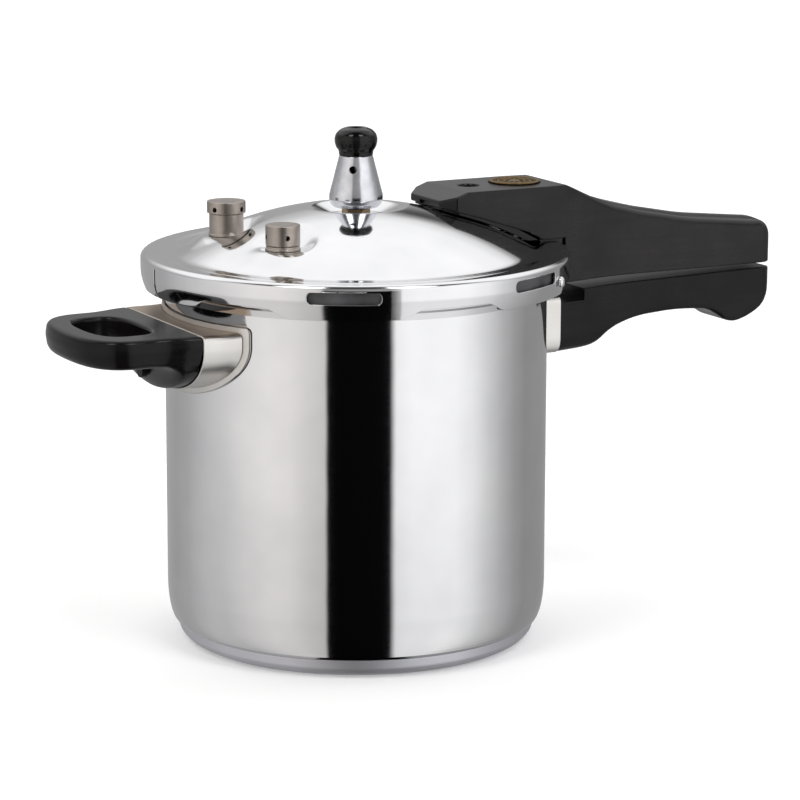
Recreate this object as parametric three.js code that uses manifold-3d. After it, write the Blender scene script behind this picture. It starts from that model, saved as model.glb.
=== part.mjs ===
// Stovetop pressure cooker with an outer bayonet lid, a long two-part handle and a helper handle.
// Millimetres, +Z up. The origin is the centre of the base's resting face, and +X runs along the
// long handle. The lid is locked; turning it 30 degrees counter-clockwise frees its lugs.
import * as THREE from "three";
import { mergeVertices } from "three/addons/utils/BufferGeometryUtils.js";
import Module from "manifold-3d";

const wasm = await Module();
wasm.setup();

// ---- Driving dimensions ----
const GAP = 0.3; // between pieces that touch or are pressed, welded or screwed together
const RUNNING = 0.6; // between pieces that move past each other
const ROUND = 48; // facets of a large round, a multiple of the lug count
const SMALL_ROUND = 16; // facets of a small round

const POT_RADIUS = 101; // outside of the pot's wall
const POT_WALL = 1.2;
const RIM_Z = 194.5; // top of the pot's rolled rim
const BASE_HEIGHT = 10; // seam between the base cap and the pot's wall
const BASE_FOOT_RADIUS = 88; // flat resting face
const BASE_INSET = 5; // how far the wall draws in at the seam
const DRAW_HEIGHT = 21; // height of that draw
const CAP_WALL = 1;
const CORE_THICKNESS = 5;

const LUG_COUNT = 6;
const LUG_STEP = 360 / LUG_COUNT;
const LUG_THICKNESS = 2.2;
const POT_LUG_ANGLE = 27.5; // width of each lug on the pot
const LID_LUG_ANGLE = 29.4; // width of each lug under the lid
const FLANGE_REACH = 4.2; // pot rim beyond the wall, between the lugs
const POT_LUG_REACH = 9.3; // pot lugs beyond the wall

const LID_OVERHANG = 12.5; // lid skirt beyond the pot's wall
const LID_WALL = 1.2;
const LID_TOP_Z = RIM_Z + 13; // shoulder of the lid
const SKIRT_TAPER = 1.9; // how far the skirt's lower edge draws in
const SKIRT_BEND = 10.2; // height of the drawn-in stretch
const SHOULDER = 13.5; // width of the flat shoulder
const GROOVE_DEPTH = 0.9;
const DOME_RISE = 25.4;
const CRATER_RADIUS = 24.5; // dish around the vent pipe
const CRATER_FLOOR_RADIUS = 14;
const CRATER_DEPTH = 4.8;
const NOTCH_RISE = 5; // cut-outs of the skirt between the lugs
const NOTCH_ANGLE = 17.6;
const NOTCH_FILLET_ANGLE = 6.5;
const WINDOW_HEIGHT = 5.9; // slots that let the gasket blow out
const WINDOW_ANGLE = 19;
const WINDOW_TURNS = [62, 120, -62, -120];
const RIVET_SHANK = 1.6;
const WINDOW_DROP = 2; // slot's lower edge below the skirt's bend
const SHOULDER_ROUND = 2.6; // between the lid's shoulder and its skirt
const GROOVE_WIDTH = 7; // groove between the shoulder and the dome

const GASKET_HEIGHT = 10;
const GASKET_WIDTH = 9;
const GASKET_LIP = 2.2;

const VENT_RADIUS = 3;
const VENT_BORE = 1.3;
const VENT_THREAD = 5;
const VENT_HEIGHT = 15.8; // above the crater's floor
const VENT_NUT_FLATS = 13;
const VENT_NUT_HEIGHT = 3.4;
const WEIGHT_LIFT = 4.4; // underside of the weight above the crater's floor
const WEIGHT_HEIGHT = 27;
const WEIGHT_RADIUS = 14.35;
const WEIGHT_TOP_RADIUS = 8.8;
const WEIGHT_BORE = 4.3;
const KNOB_RADIUS = 11.35;
const KNOB_HEIGHT = 14.4;

const VALVE_RING = 68.4; // distance of both safety valves from the axis
const VALVE_A = { name: "valve_a", turn: 160.5, neck: 10.1, capHeight: 6.2, capRadius: 10.15, holeTurn: 28 };
const VALVE_B = { name: "valve_b", turn: 210, neck: 0.8, capHeight: 10.4, capRadius: 8.9, holeTurn: -10 };
const VALVE_NECK_RADIUS = 9;
const VALVE_HOLE = 1.35;
const VALVE_HOLE_DROP = 0.8; // side holes below the middle of the cap
const VALVE_THREAD = 4;
const VALVE_BOSS = 5.5;
const PAD_RADIUS = 11.4; // flat pads pressed into the dome under the valves and the float
const FLOAT_DISTANCE = 67.3;
const FLOAT_PIN = 2;
const FLOAT_LIFT = 5;

const HANDLE_LENGTH = 140.5; // long handle beyond the lid's skirt
const HANDLE_HALF_WIDTH = 23.5; // over the lid
const GRIP_HALF_WIDTH = 14.5;
const HANDLE_TOP = 29.5; // flat top above the lid's shoulder
const HANDLE_FRONT = 72.5; // how far the handle reaches in over the lid
const HANDLE_SPLIT = 23.8; // underside of the upper handle below the lid's shoulder
const SPLIT_GAP = 2.4; // between the upper and lower handle at the tip
const SPLIT_WEDGE = 2.4; // how much that gap opens towards the pot
const SIGHT_RADIUS = 5.7;
const MEDALLION_RADIUS = 13.75;
const MEDALLION_IN = 18; // inside the skirt

const BRACKET_WALL = 1.5;
const BRACKET_WIDTH = 26;
const TONGUE_WIDTH = 18;
const FRONT_SLOT_WIDTH = 12;
const LOWER_BRACKET_REACH = 11; // sleeve beyond the pot's wall
const LOWER_TOP = 18; // sleeve's top below the rim
const LOWER_BOTTOM = 49.5;
const HELPER_REACH = 10;
const HELPER_TOP = 16.5; // below the rim
const HELPER_SIDE = 7; // straight side of the sleeve
const HELPER_DROP = 27; // rounded underside of the sleeve
const HELPER_HALF_WIDTH = 50;
const LOOP_LENGTH = 57.5; // helper handle beyond the sleeve
const LOOP_HALF_WIDTH = 44;
const LOOP_THICKNESS = 15.5;
const FINGER_HOLE_LENGTH = 26;
const FINGER_HOLE_HALF_WIDTH = 28;
const SCREW_RADIUS = 2;
const SCREW_HEAD = 4;

// ---- Sizes that follow ----
const LID_RADIUS = POT_RADIUS + LID_OVERHANG;
const DOME_FOOT = LID_RADIUS - SHOULDER - 5;
const domeZ = (r) => LID_TOP_Z - 0.5 + DOME_RISE * (1 - (r / DOME_FOOT) ** 2);
const CRATER_Z = domeZ(CRATER_RADIUS) - CRATER_DEPTH;
const POT_LUG_Z = RIM_Z - LUG_THICKNESS; // underside of the pot's lugs
const LID_LUG_Z = POT_LUG_Z - RUNNING - LUG_THICKNESS; // underside of the lid's lugs
const SKIRT_Z = LID_LUG_Z;
const FLOOR_Z = CAP_WALL + CORE_THICKNESS + 2 * GAP; // underside of the pot's floor
const LID_LUG_INNER = POT_RADIUS + FLANGE_REACH + RUNNING;
const PAD_DROP = 1.5; // pad below the dome at its centre
const VALVE_PAD_Z = domeZ(VALVE_RING) - PAD_DROP;
const FLOAT_PAD_Z = domeZ(FLOAT_DISTANCE) - PAD_DROP;

// ---- Shapes ----
const deg = THREE.MathUtils.degToRad;

function solid(geometry) {
  const bare = geometry.index ? geometry.toNonIndexed() : geometry.clone();
  bare.deleteAttribute("normal");
  bare.deleteAttribute("uv");
  const merged = mergeVertices(bare, 1e-4);
  return new wasm.Manifold(
    new wasm.Mesh({
      numProp: 3,
      vertProperties: new Float32Array(merged.attributes.position.array),
      triVerts: new Uint32Array(merged.index.array),
    }),
  );
}

// A closed outline of [radius, height] pairs, turned about Z.
function turned(points, facets = ROUND) {
  const area = points.reduce((sum, [r, z], i) => {
    const [r2, z2] = points[(i + 1) % points.length];
    return sum + r * z2 - r2 * z;
  }, 0);
  const outline = (area > 0 ? points : [...points].reverse()).map(([r, z]) => new THREE.Vector2(r, z));
  outline.push(outline[0].clone());
  return solid(new THREE.LatheGeometry(outline, facets).rotateX(Math.PI / 2));
}

function disc(radius, low, high, facets = SMALL_ROUND) {
  return solid(
    new THREE.CylinderGeometry(radius, radius, high - low, facets)
      .rotateX(Math.PI / 2)
      .translate(0, 0, (low + high) / 2),
  );
}

function ring(inner, outer, low, high, facets = SMALL_ROUND) {
  return disc(outer, low, high, facets).subtract(disc(inner, low - 1, high + 1, facets));
}

function box(low, high) {
  const size = low.map((value, i) => high[i] - value);
  const middle = low.map((value, i) => (high[i] + value) / 2);
  return solid(new THREE.BoxGeometry(...size).translate(...middle));
}

// A shape in X and Y, raised from low to high.
function raised(shape, low, high, curves = 5) {
  const options = { depth: high - low, bevelEnabled: false, curveSegments: curves };
  return solid(new THREE.ExtrudeGeometry(shape, options).translate(0, 0, low));
}

// A shape in X and Z, carried along Y from low to high.
function carriedY(shape, low, high, curves = 5) {
  const options = { depth: high - low, bevelEnabled: false, curveSegments: curves };
  return solid(new THREE.ExtrudeGeometry(shape, options).rotateX(Math.PI / 2).translate(0, high, 0));
}

// A shape whose x is Y and whose y is Z, carried along X from low to high.
function carriedX(shape, low, high, curves = 5) {
  const options = { depth: high - low, bevelEnabled: false, curveSegments: curves };
  const turn = new THREE.Matrix4().makeBasis(
    new THREE.Vector3(0, 1, 0),
    new THREE.Vector3(0, 0, 1),
    new THREE.Vector3(1, 0, 0),
  );
  return solid(new THREE.ExtrudeGeometry(shape, options).applyMatrix4(turn).translate(low, 0, 0));
}

function polygon(points) {
  return new THREE.Shape(points.map(([x, y]) => new THREE.Vector2(x, y)));
}

// A round bar along X.
function barX(radius, low, high, z, facets = SMALL_ROUND) {
  const size = high - low;
  return solid(new THREE.CylinderGeometry(radius, radius, size, facets).rotateZ(Math.PI / 2))
    .translate([(low + high) / 2, 0, z]);
}

function hexagon(flats, low, high, bore) {
  return disc(flats / Math.sqrt(3), low, high, 6).subtract(disc(bore, low - 1, high + 1));
}

// A sector of a flat ring, centred on a turn in degrees.
function sector(inner, outer, turn, width, low, high, steps = 6) {
  const shape = new THREE.Shape();
  const start = deg(turn - width / 2);
  const at = (radius, i) => {
    const angle = start + (deg(width) * i) / steps;
    return [radius * Math.cos(angle), radius * Math.sin(angle)];
  };
  shape.moveTo(...at(inner, 0));
  for (let i = 0; i <= steps; i++) shape.lineTo(...at(outer, i));
  for (let i = steps; i > 0; i--) shape.lineTo(...at(inner, i));
  return raised(shape, low, high);
}

function around(piece, turn, distance) {
  return piece.translate([distance * Math.cos(deg(turn)), distance * Math.sin(deg(turn)), 0]);
}

// ---- Scene ----
const cooker = new THREE.Group();
const groups = {};
for (const name of ["pot", "lid", "weight", "float", "plunger_a", "plunger_b"]) {
  groups[name] = new THREE.Group();
  cooker.add(groups[name]);
}

const MIRROR_STEEL = { color: 0xd4d5d7, roughness: 0.08, metalness: 1 };
const SATIN_STEEL = { color: 0xb9b5ae, roughness: 0.35, metalness: 1 };
const WARM_STEEL = { color: 0x8f8a84, roughness: 0.35, metalness: 1 };
const ALUMINIUM = { color: 0xb8babc, roughness: 0.5, metalness: 1 };
const BRASS = { color: 0xb08d4a, roughness: 0.35, metalness: 1 };
const PHENOLIC = { color: 0x1c1b1d, roughness: 0.35, metalness: 0 };
const GLOSS_BLACK = { color: 0x0c0c0d, roughness: 0.12, metalness: 0 };
const SILICONE = { color: 0x2c2c2e, roughness: 0.6, metalness: 0 };
const RED_PLASTIC = { color: 0xa8201c, roughness: 0.4, metalness: 0 };

function add(body, name, shape, finish) {
  const made = shape.getMesh();
  const geometry = new THREE.BufferGeometry();
  const positions = new Float32Array(made.numVert * 3);
  for (let i = 0; i < made.numVert; i++) {
    const start = i * made.numProp;
    positions.set(made.vertProperties.subarray(start, start + 3), i * 3);
  }
  geometry.setAttribute("position", new THREE.BufferAttribute(positions, 3));
  geometry.setIndex(new THREE.BufferAttribute(new Uint32Array(made.triVerts), 1));
  const mesh = new THREE.Mesh(geometry, new THREE.MeshStandardMaterial(finish));
  mesh.name = name;
  groups[body].add(mesh);
}

// ---- Pot and its base ----
function drawnWall(inset) {
  // The wall draws in towards the base along a shallow arc.
  const steps = 4;
  return Array.from({ length: steps + 1 }, (_, i) => {
    const share = i / steps;
    const drawn = BASE_INSET * (1 - Math.sqrt(1 - 0.98 * (1 - share) ** 2));
    return [POT_RADIUS - inset - drawn, BASE_HEIGHT + GAP + DRAW_HEIGHT * share];
  });
}

function potShell() {
  const flange = POT_RADIUS + FLANGE_REACH;
  const corner = POT_RADIUS - BASE_INSET - CAP_WALL - 2 * GAP;
  const shell = turned([
    [0, FLOOR_Z],
    [BASE_FOOT_RADIUS, FLOOR_Z],
    [(BASE_FOOT_RADIUS + corner) / 2, FLOOR_Z + 0.8],
    [corner, BASE_HEIGHT],
    ...drawnWall(0),
    [POT_RADIUS, POT_LUG_Z - 5],
    [POT_RADIUS + 0.8, POT_LUG_Z - 1.6],
    [POT_RADIUS + 2.4, POT_LUG_Z],
    [flange, POT_LUG_Z],
    [flange, RIM_Z],
    [POT_RADIUS - POT_WALL + 1, RIM_Z],
    [POT_RADIUS - POT_WALL, RIM_Z - 1],
    ...drawnWall(POT_WALL).reverse(),
    [BASE_FOOT_RADIUS, FLOOR_Z + POT_WALL],
    [0, FLOOR_Z + POT_WALL],
  ]);
  return Array.from({ length: LUG_COUNT }).reduce((whole, _, i) => {
    const reach = POT_RADIUS + POT_LUG_REACH;
    const lug = sector(POT_RADIUS + 1, reach, i * LUG_STEP, POT_LUG_ANGLE, POT_LUG_Z, RIM_Z);
    return whole.add(lug);
  }, shell);
}

function baseCap() {
  const edge = POT_RADIUS - BASE_INSET;
  const reach = edge - BASE_FOOT_RADIUS;
  const outer = [
    [0, 0],
    [BASE_FOOT_RADIUS, 0],
    [BASE_FOOT_RADIUS + reach * 0.5, BASE_HEIGHT * 0.2],
    [BASE_FOOT_RADIUS + reach * 0.82, BASE_HEIGHT * 0.5],
    [edge, BASE_HEIGHT],
  ];
  const inner = outer.map(([r, z]) => [Math.max(0, r - CAP_WALL), z === BASE_HEIGHT ? z : z + CAP_WALL]);
  return turned([...outer, ...inner.reverse()]);
}

add("pot", "pot_shell", potShell(), MIRROR_STEEL);
add("pot", "base_core", disc(BASE_FOOT_RADIUS - 1.5, CAP_WALL + GAP, FLOOR_Z - GAP, ROUND), ALUMINIUM);
add("pot", "base_cap", baseCap(), SATIN_STEEL);

// ---- Lid ----
function lidProfile(inset) {
  const edge = LID_RADIUS - inset;
  const top = LID_TOP_Z - inset;
  const groove = DOME_FOOT + GROOVE_WIDTH / 2;
  const round = SHOULDER_ROUND - inset;
  return [
    [edge - SKIRT_TAPER, SKIRT_Z],
    [edge, SKIRT_Z + SKIRT_BEND],
    [edge, top - round],
    [edge - round * 0.3, top - round * 0.3],
    [edge - round, top],
    [groove + 3, top],
    [groove, top - GROOVE_DEPTH],
    [DOME_FOOT, domeZ(DOME_FOOT) - inset + 0.4],
    ...[0.88, 0.74, 0.58, 0.4].map((share) => [DOME_FOOT * share, domeZ(DOME_FOOT * share) - inset]),
    [CRATER_RADIUS + 1.5, domeZ(CRATER_RADIUS + 1.5) - inset],
    [CRATER_RADIUS - 1, domeZ(CRATER_RADIUS) - 0.4 - inset],
    [CRATER_FLOOR_RADIUS, CRATER_Z - inset],
    [0, CRATER_Z - inset],
  ];
}

function lidShell() {
  const outside = lidProfile(0);
  const inside = lidProfile(LID_WALL);
  let outer = turned([...outside, [0, SKIRT_Z]]);
  const [lipRadius] = inside[0];
  let inner = turned([[lipRadius, SKIRT_Z - 1], ...inside, [0, SKIRT_Z - 1]]);
  const pads = [
    [VALVE_A.turn, VALVE_RING, VALVE_PAD_Z],
    [VALVE_B.turn, VALVE_RING, VALVE_PAD_Z],
    [0, FLOAT_DISTANCE, FLOAT_PAD_Z],
  ];
  for (const [turn, distance, height] of pads) {
    const above = height + 20;
    const below = height - 6;
    outer = outer
      .subtract(around(disc(PAD_RADIUS, height, above, 20), turn, distance))
      .add(around(disc(PAD_RADIUS + LID_WALL, below, height, 20), turn, distance));
    inner = inner
      .subtract(around(disc(PAD_RADIUS + LID_WALL, height - LID_WALL, above, 20), turn, distance))
      .add(around(disc(PAD_RADIUS, below - 1, height - LID_WALL, 20), turn, distance));
  }
  let shell = outer.subtract(inner);
  for (let i = 0; i < LUG_COUNT; i++) shell = shell.add(lidLug(i * LUG_STEP));
  for (let i = 0; i < LUG_COUNT; i++) shell = shell.subtract(skirtNotch((i + 0.5) * LUG_STEP));
  for (const turn of WINDOW_TURNS) shell = shell.subtract(skirtWindow(turn));
  shell = shell.subtract(disc(VENT_THREAD + GAP, CRATER_Z - 5, CRATER_Z + 5));
  for (const [turn, distance, height] of pads) {
    const bore = around(disc(VALVE_THREAD + GAP, height - 9, height + 9), turn, distance);
    shell = shell.subtract(bore);
  }
  return shell.subtract(rivetBar(GAP));
}

function lidLug(turn) {
  const outer = LID_RADIUS - SKIRT_TAPER - LID_WALL / 2;
  return sector(LID_LUG_INNER, outer, turn, LID_LUG_ANGLE, LID_LUG_Z, LID_LUG_Z + LUG_THICKNESS);
}

// A radial prism through the skirt: an outline of [degrees, height] pairs.
function throughSkirt(points) {
  const outline = points.map(([turn, z]) => new THREE.Vector2(turn, z));
  if (THREE.ShapeUtils.isClockWise(outline)) outline.reverse();
  const at = (radius) => outline.map(({ x, y }) => {
    return new THREE.Vector3(radius * Math.cos(deg(x)), radius * Math.sin(deg(x)), y);
  });
  const near = at(LID_LUG_INNER - 2);
  const far = at(LID_RADIUS + 5);
  const faces = THREE.ShapeUtils.triangulateShape(outline, []).flatMap(([i, j, k]) => [
    [far[i], far[j], far[k]],
    [near[i], near[k], near[j]],
  ]);
  outline.forEach((_, i) => {
    const next = (i + 1) % outline.length;
    faces.push([near[i], near[next], far[next]], [near[i], far[next], far[i]]);
  });
  return solid(new THREE.BufferGeometry().setFromPoints(faces.flat()));
}

// The cut-out between two lugs, with a quarter round in each upper corner.
function skirtNotch(turn) {
  const top = SKIRT_Z + NOTCH_RISE;
  const half = NOTCH_ANGLE / 2;
  const fillet = (side) => [0, 30, 60, 90].map((angle) => [
    turn + side * (half + NOTCH_FILLET_ANGLE * Math.sin(deg(angle))),
    top - (NOTCH_RISE + 1) * (1 - Math.cos(deg(angle))),
  ]);
  return throughSkirt([...fillet(1), ...fillet(-1).reverse()]);
}

function skirtWindow(turn) {
  const low = SKIRT_Z + SKIRT_BEND - WINDOW_DROP;
  const round = 1.4;
  const half = WINDOW_ANGLE / 2;
  return throughSkirt([
    [turn + half, low + WINDOW_HEIGHT / 3],
    [turn + half, low + (WINDOW_HEIGHT * 2) / 3],
    [turn + half - round, low + WINDOW_HEIGHT],
    [turn - half + round, low + WINDOW_HEIGHT],
    [turn - half, low + (WINDOW_HEIGHT * 2) / 3],
    [turn - half, low + WINDOW_HEIGHT / 3],
    [turn - half + round, low],
    [turn + half - round, low],
  ]);
}

const RIVET_TURN = -49.2;
const RIVET_Z = SKIRT_Z + SKIRT_BEND - 2.4;
const RIVET_HEAD = 2.3;

function rivetBar(extra) {
  const inside = LID_RADIUS - LID_WALL - 1 - extra;
  const shank = barX(RIVET_SHANK + extra, inside, LID_RADIUS + 1, RIVET_Z, 10);
  return shank.rotate([0, 0, RIVET_TURN]);
}

function skirtRivet() {
  const head = solid(new THREE.SphereGeometry(RIVET_HEAD, 12, 8)).translate([LID_RADIUS + GAP, 0, RIVET_Z]);
  const kept = box([LID_RADIUS + GAP, -4, RIVET_Z - 4], [LID_RADIUS + 8, 4, RIVET_Z + 4]);
  return head.intersect(kept).rotate([0, 0, RIVET_TURN]).add(rivetBar(0));
}

function gasket() {
  const outer = LID_RADIUS - LID_WALL - SKIRT_TAPER / 2 - GAP;
  const inner = outer - GASKET_WIDTH;
  const low = RIM_Z + GAP;
  const high = Math.min(low + GASKET_HEIGHT, LID_TOP_Z - LID_WALL - GAP - 0.4);
  const web = outer - 3.4;
  return turned([
    [inner, low],
    [outer, low],
    [outer, high],
    [inner, high],
    [inner, high - GASKET_LIP],
    [web, high - GASKET_LIP - 0.8],
    [web, low + GASKET_LIP + 0.8],
    [inner, low + GASKET_LIP],
  ]);
}

add("lid", "lid_shell", lidShell(), MIRROR_STEEL);
add("lid", "lid_gasket", gasket(), SILICONE);
add("lid", "skirt_rivet", skirtRivet(), MIRROR_STEEL);

// ---- Vent pipe and weight ----
const VENT_TOP_Z = CRATER_Z + VENT_HEIGHT;
const UNDER_LID = CRATER_Z - LID_WALL;

function ventPipe() {
  const hexLow = UNDER_LID - 2 * GAP - 1.2 - 3;
  const outline = [
    [VENT_BORE, hexLow - 3],
    [VENT_THREAD - 0.4, hexLow - 3],
    [VENT_THREAD - 0.4, hexLow],
    [8, hexLow],
    [8, hexLow + 3],
    [VENT_THREAD, hexLow + 3],
    [VENT_THREAD, CRATER_Z + VENT_NUT_HEIGHT + GAP],
    [VENT_RADIUS, CRATER_Z + VENT_NUT_HEIGHT + GAP + 0.4],
    [VENT_RADIUS, VENT_TOP_Z - 1.5],
    [VENT_BORE + 0.5, VENT_TOP_Z],
    [VENT_BORE, VENT_TOP_Z],
  ];
  return turned(outline, SMALL_ROUND);
}

function ventScreen() {
  // A slotted cup pressed over the vent pipe's foot keeps food out of its bore.
  const top = UNDER_LID - 2 * GAP - 1.2 - 3 - GAP;
  const wall = 0.8;
  const radius = 8.6;
  let cup = turned(
    [
      [VENT_THREAD - 0.4 + GAP, top],
      [radius, top],
      [radius, top - 9],
      [0, top - 9],
      [0, top - 9 + wall],
      [radius - wall, top - 9 + wall],
      [radius - wall, top - wall],
      [VENT_THREAD - 0.4 + GAP, top - wall],
    ],
    SMALL_ROUND,
  );
  for (let i = 0; i < 3; i++) {
    const slot = box([-radius - 2, -0.9, top - 7.4], [radius + 2, 0.9, top - 2.4]);
    cup = cup.subtract(slot.rotate([0, 0, (i + 0.25) * 60]));
  }
  return cup;
}

function weightBody() {
  const low = CRATER_Z + WEIGHT_LIFT;
  const high = low + WEIGHT_HEIGHT;
  const widest = low + WEIGHT_HEIGHT * 0.2;
  const bore = [
    [WEIGHT_BORE, high - 3],
    [WEIGHT_BORE, low],
  ];
  const body = turned(
    [
      ...bore,
      [WEIGHT_RADIUS * 0.84, low],
      [WEIGHT_RADIUS * 0.95, low + 1.8],
      [WEIGHT_RADIUS, widest],
      [WEIGHT_TOP_RADIUS, high],
      [SCREW_RADIUS, high],
      [SCREW_RADIUS, high + 5.4],
      [0, high + 5.4],
      [0, high - 3],
    ],
    24,
  );
  const hole = barX(2, -1, WEIGHT_RADIUS + 3, low + WEIGHT_HEIGHT * 0.76, 12).rotate([0, 0, -126]);
  return body.subtract(hole);
}

function weightNeedle() {
  const tip = VENT_TOP_Z + GAP;
  const top = CRATER_Z + WEIGHT_LIFT + WEIGHT_HEIGHT - 3 - GAP;
  return turned(
    [
      [0, tip],
      [WEIGHT_BORE - GAP - 0.4, tip + 1.4],
      [WEIGHT_BORE - GAP, tip + 3.2],
      [1.6, tip + 4],
      [1.6, top],
      [0, top],
    ],
    12,
  );
}

function weightKnob() {
  const low = CRATER_Z + WEIGHT_LIFT + WEIGHT_HEIGHT + GAP;
  const high = low + KNOB_HEIGHT;
  const belt = low + KNOB_HEIGHT * 0.53;
  const ball = [-50, -25, 0, 25, 50].map((angle) => [
    KNOB_RADIUS * (0.25 + 0.75 * Math.cos(deg(angle))),
    belt + (high - belt) * 0.98 * Math.sin(deg(angle)),
  ]);
  const foot = KNOB_RADIUS * 0.79;
  return turned(
    [
      [0, low + 6],
      [SCREW_RADIUS + GAP, low + 6],
      [SCREW_RADIUS + GAP, low],
      [foot, low],
      [foot, low + 2],
      ...ball.slice(1),
      [KNOB_RADIUS * 0.45, high],
      [KNOB_RADIUS * 0.36, high - 0.7],
      [0, high - 0.7],
    ],
    20,
  );
}

add("lid", "vent_pipe", ventPipe(), SATIN_STEEL);
add("lid", "vent_seal", ring(VENT_THREAD + GAP, 8, UNDER_LID - GAP - 1.2, UNDER_LID - GAP), SILICONE);
const VENT_NUT_LOW = CRATER_Z + GAP;
const ventNutTop = VENT_NUT_LOW + VENT_NUT_HEIGHT - GAP;
const ventNut = hexagon(VENT_NUT_FLATS, VENT_NUT_LOW, ventNutTop, VENT_THREAD + GAP);
add("lid", "vent_nut", ventNut, BRASS);
add("lid", "vent_screen", ventScreen(), SATIN_STEEL);
add("weight", "weight_body", weightBody(), MIRROR_STEEL);
add("weight", "weight_needle", weightNeedle(), SATIN_STEEL);
add("weight", "weight_knob", weightKnob(), GLOSS_BLACK);

// ---- Safety valves ----
const SPRING_WIRE = 0.45;
const SPRING_RADIUS = 2.7;

function helix(radius, low, high, turns) {
  class Helix extends THREE.Curve {
    getPoint(t, target = new THREE.Vector3()) {
      const angle = 2 * Math.PI * turns * t;
      return target.set(radius * Math.cos(angle), radius * Math.sin(angle), low + (high - low) * t);
    }
  }
  const section = new THREE.Shape().absarc(0, 0, SPRING_WIRE, 0, 2 * Math.PI);
  const options = { steps: turns * 10, extrudePath: new Helix(), curveSegments: 5, bevelEnabled: false };
  return solid(new THREE.ExtrudeGeometry(section, options));
}

function safetyValve({ name, turn, neck, capHeight, capRadius, holeTurn }, plungerBody) {
  const neckRadius = Math.min(VALVE_NECK_RADIUS, capRadius - 0.2);
  const pad = VALVE_PAD_Z;
  const put = (piece) => around(piece, turn, VALVE_RING);
  const neckTop = pad + GAP + neck;
  const capLow = neckTop + GAP;
  const capHigh = capLow + capHeight;
  const roof = capHigh - 1.6;
  const seat = pad + 1.4;
  const chamber = 4.2;
  const bossTop = Math.max(neckTop + 2.6, seat + 5);
  const under = pad - LID_WALL;
  const body = turned(
    [
      [1.2, under - 6],
      [VALVE_THREAD, under - 6],
      [VALVE_THREAD, pad + GAP],
      [neckRadius, pad + GAP],
      [neckRadius, neckTop],
      [VALVE_BOSS, neckTop],
      [VALVE_BOSS, Math.min(bossTop, roof - 1)],
      [chamber, Math.min(bossTop, roof - 1)],
      [chamber, seat],
      [1.2, seat - 1],
    ],
    SMALL_ROUND,
  );
  const capBore = VALVE_BOSS + GAP;
  let cap = turned(
    [
      [capBore, capLow],
      [capRadius, capLow],
      [capRadius, capHigh - 0.4],
      [capRadius - 0.4, capHigh],
      [0, capHigh],
      [0, roof],
      [capBore + 1.2, roof],
      [capBore + 1.2, capLow + 1.4],
      [capBore, capLow + 1.4],
    ],
    20,
  );
  for (let i = 0; i < 4; i++) {
    const vent = barX(VALVE_HOLE, VALVE_BOSS, capRadius + 2, (capLow + capHigh) / 2 - VALVE_HOLE_DROP, 8);
    cap = cap.subtract(vent.rotate([0, 0, i * 90 + holeTurn]));
  }
  const head = seat + GAP + 2.6;
  const plunger = turned(
    [
      [0, seat - 1.4],
      [0.8, seat - 1.4],
      [chamber - RUNNING - 0.2, seat + GAP + 0.9],
      [chamber - RUNNING - 0.2, head],
      [1.6, head],
      [1.6, head + 1.2],
      [0, head + 1.2],
    ],
    12,
  );
  const wire = SPRING_WIRE + 0.2;
  add("lid", `${name}_body`, put(body), WARM_STEEL);
  add("lid", `${name}_seal`, put(ring(VALVE_THREAD + GAP, 8, under - GAP - 1.2, under - GAP)), SILICONE);
  add("lid", `${name}_nut`, put(hexagon(13, under - 4.8, under - 1.8, VALVE_THREAD + GAP)), WARM_STEEL);
  add("lid", `${name}_cap`, put(cap), WARM_STEEL);
  add("lid", `${name}_spring`, put(helix(SPRING_RADIUS, head + wire, roof - wire, 3)), SATIN_STEEL);
  add(plungerBody, `${name}_plunger`, put(plunger), SATIN_STEEL);
}

safetyValve(VALVE_A, "plunger_a");
safetyValve(VALVE_B, "plunger_b");

// ---- Float that shows and locks the pressure ----
function floatBush() {
  const bore = FLOAT_PIN + RUNNING;
  return turned(
    [
      [bore, FLOAT_PAD_Z - 7],
      [VALVE_THREAD, FLOAT_PAD_Z - 7],
      [VALVE_THREAD, FLOAT_PAD_Z + GAP],
      [7, FLOAT_PAD_Z + GAP],
      [7, FLOAT_PAD_Z + GAP + 1.6],
      [bore, FLOAT_PAD_Z + GAP + 1.6],
    ],
    SMALL_ROUND,
  );
}

function floatPin() {
  const head = FLOAT_PAD_Z + GAP + 1.6 + GAP;
  const foot = FLOAT_PAD_Z - 7 - FLOAT_LIFT - RUNNING;
  return turned(
    [
      [0, foot - 2],
      [4.4, foot - 2],
      [4.4, foot],
      [FLOAT_PIN, foot],
      [FLOAT_PIN, head],
      [3.6, head],
      [3.6, head + 2.4],
      [0, head + 2.4],
    ],
    SMALL_ROUND,
  );
}

const atFloat = (piece) => around(piece, 0, FLOAT_DISTANCE);
const FLOAT_UNDER = FLOAT_PAD_Z - LID_WALL;
const floatSeal = ring(VALVE_THREAD + GAP, 8, FLOAT_UNDER - GAP - 1.2, FLOAT_UNDER - GAP);
const floatNut = hexagon(13, FLOAT_UNDER - 4.6, FLOAT_UNDER - 1.8, VALVE_THREAD + GAP);
add("lid", "float_bush", atFloat(floatBush()), BRASS);
add("lid", "float_seal", atFloat(floatSeal), SILICONE);
add("lid", "float_nut", atFloat(floatNut), BRASS);
add("float", "float_pin", atFloat(floatPin()), RED_PLASTIC);

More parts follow.
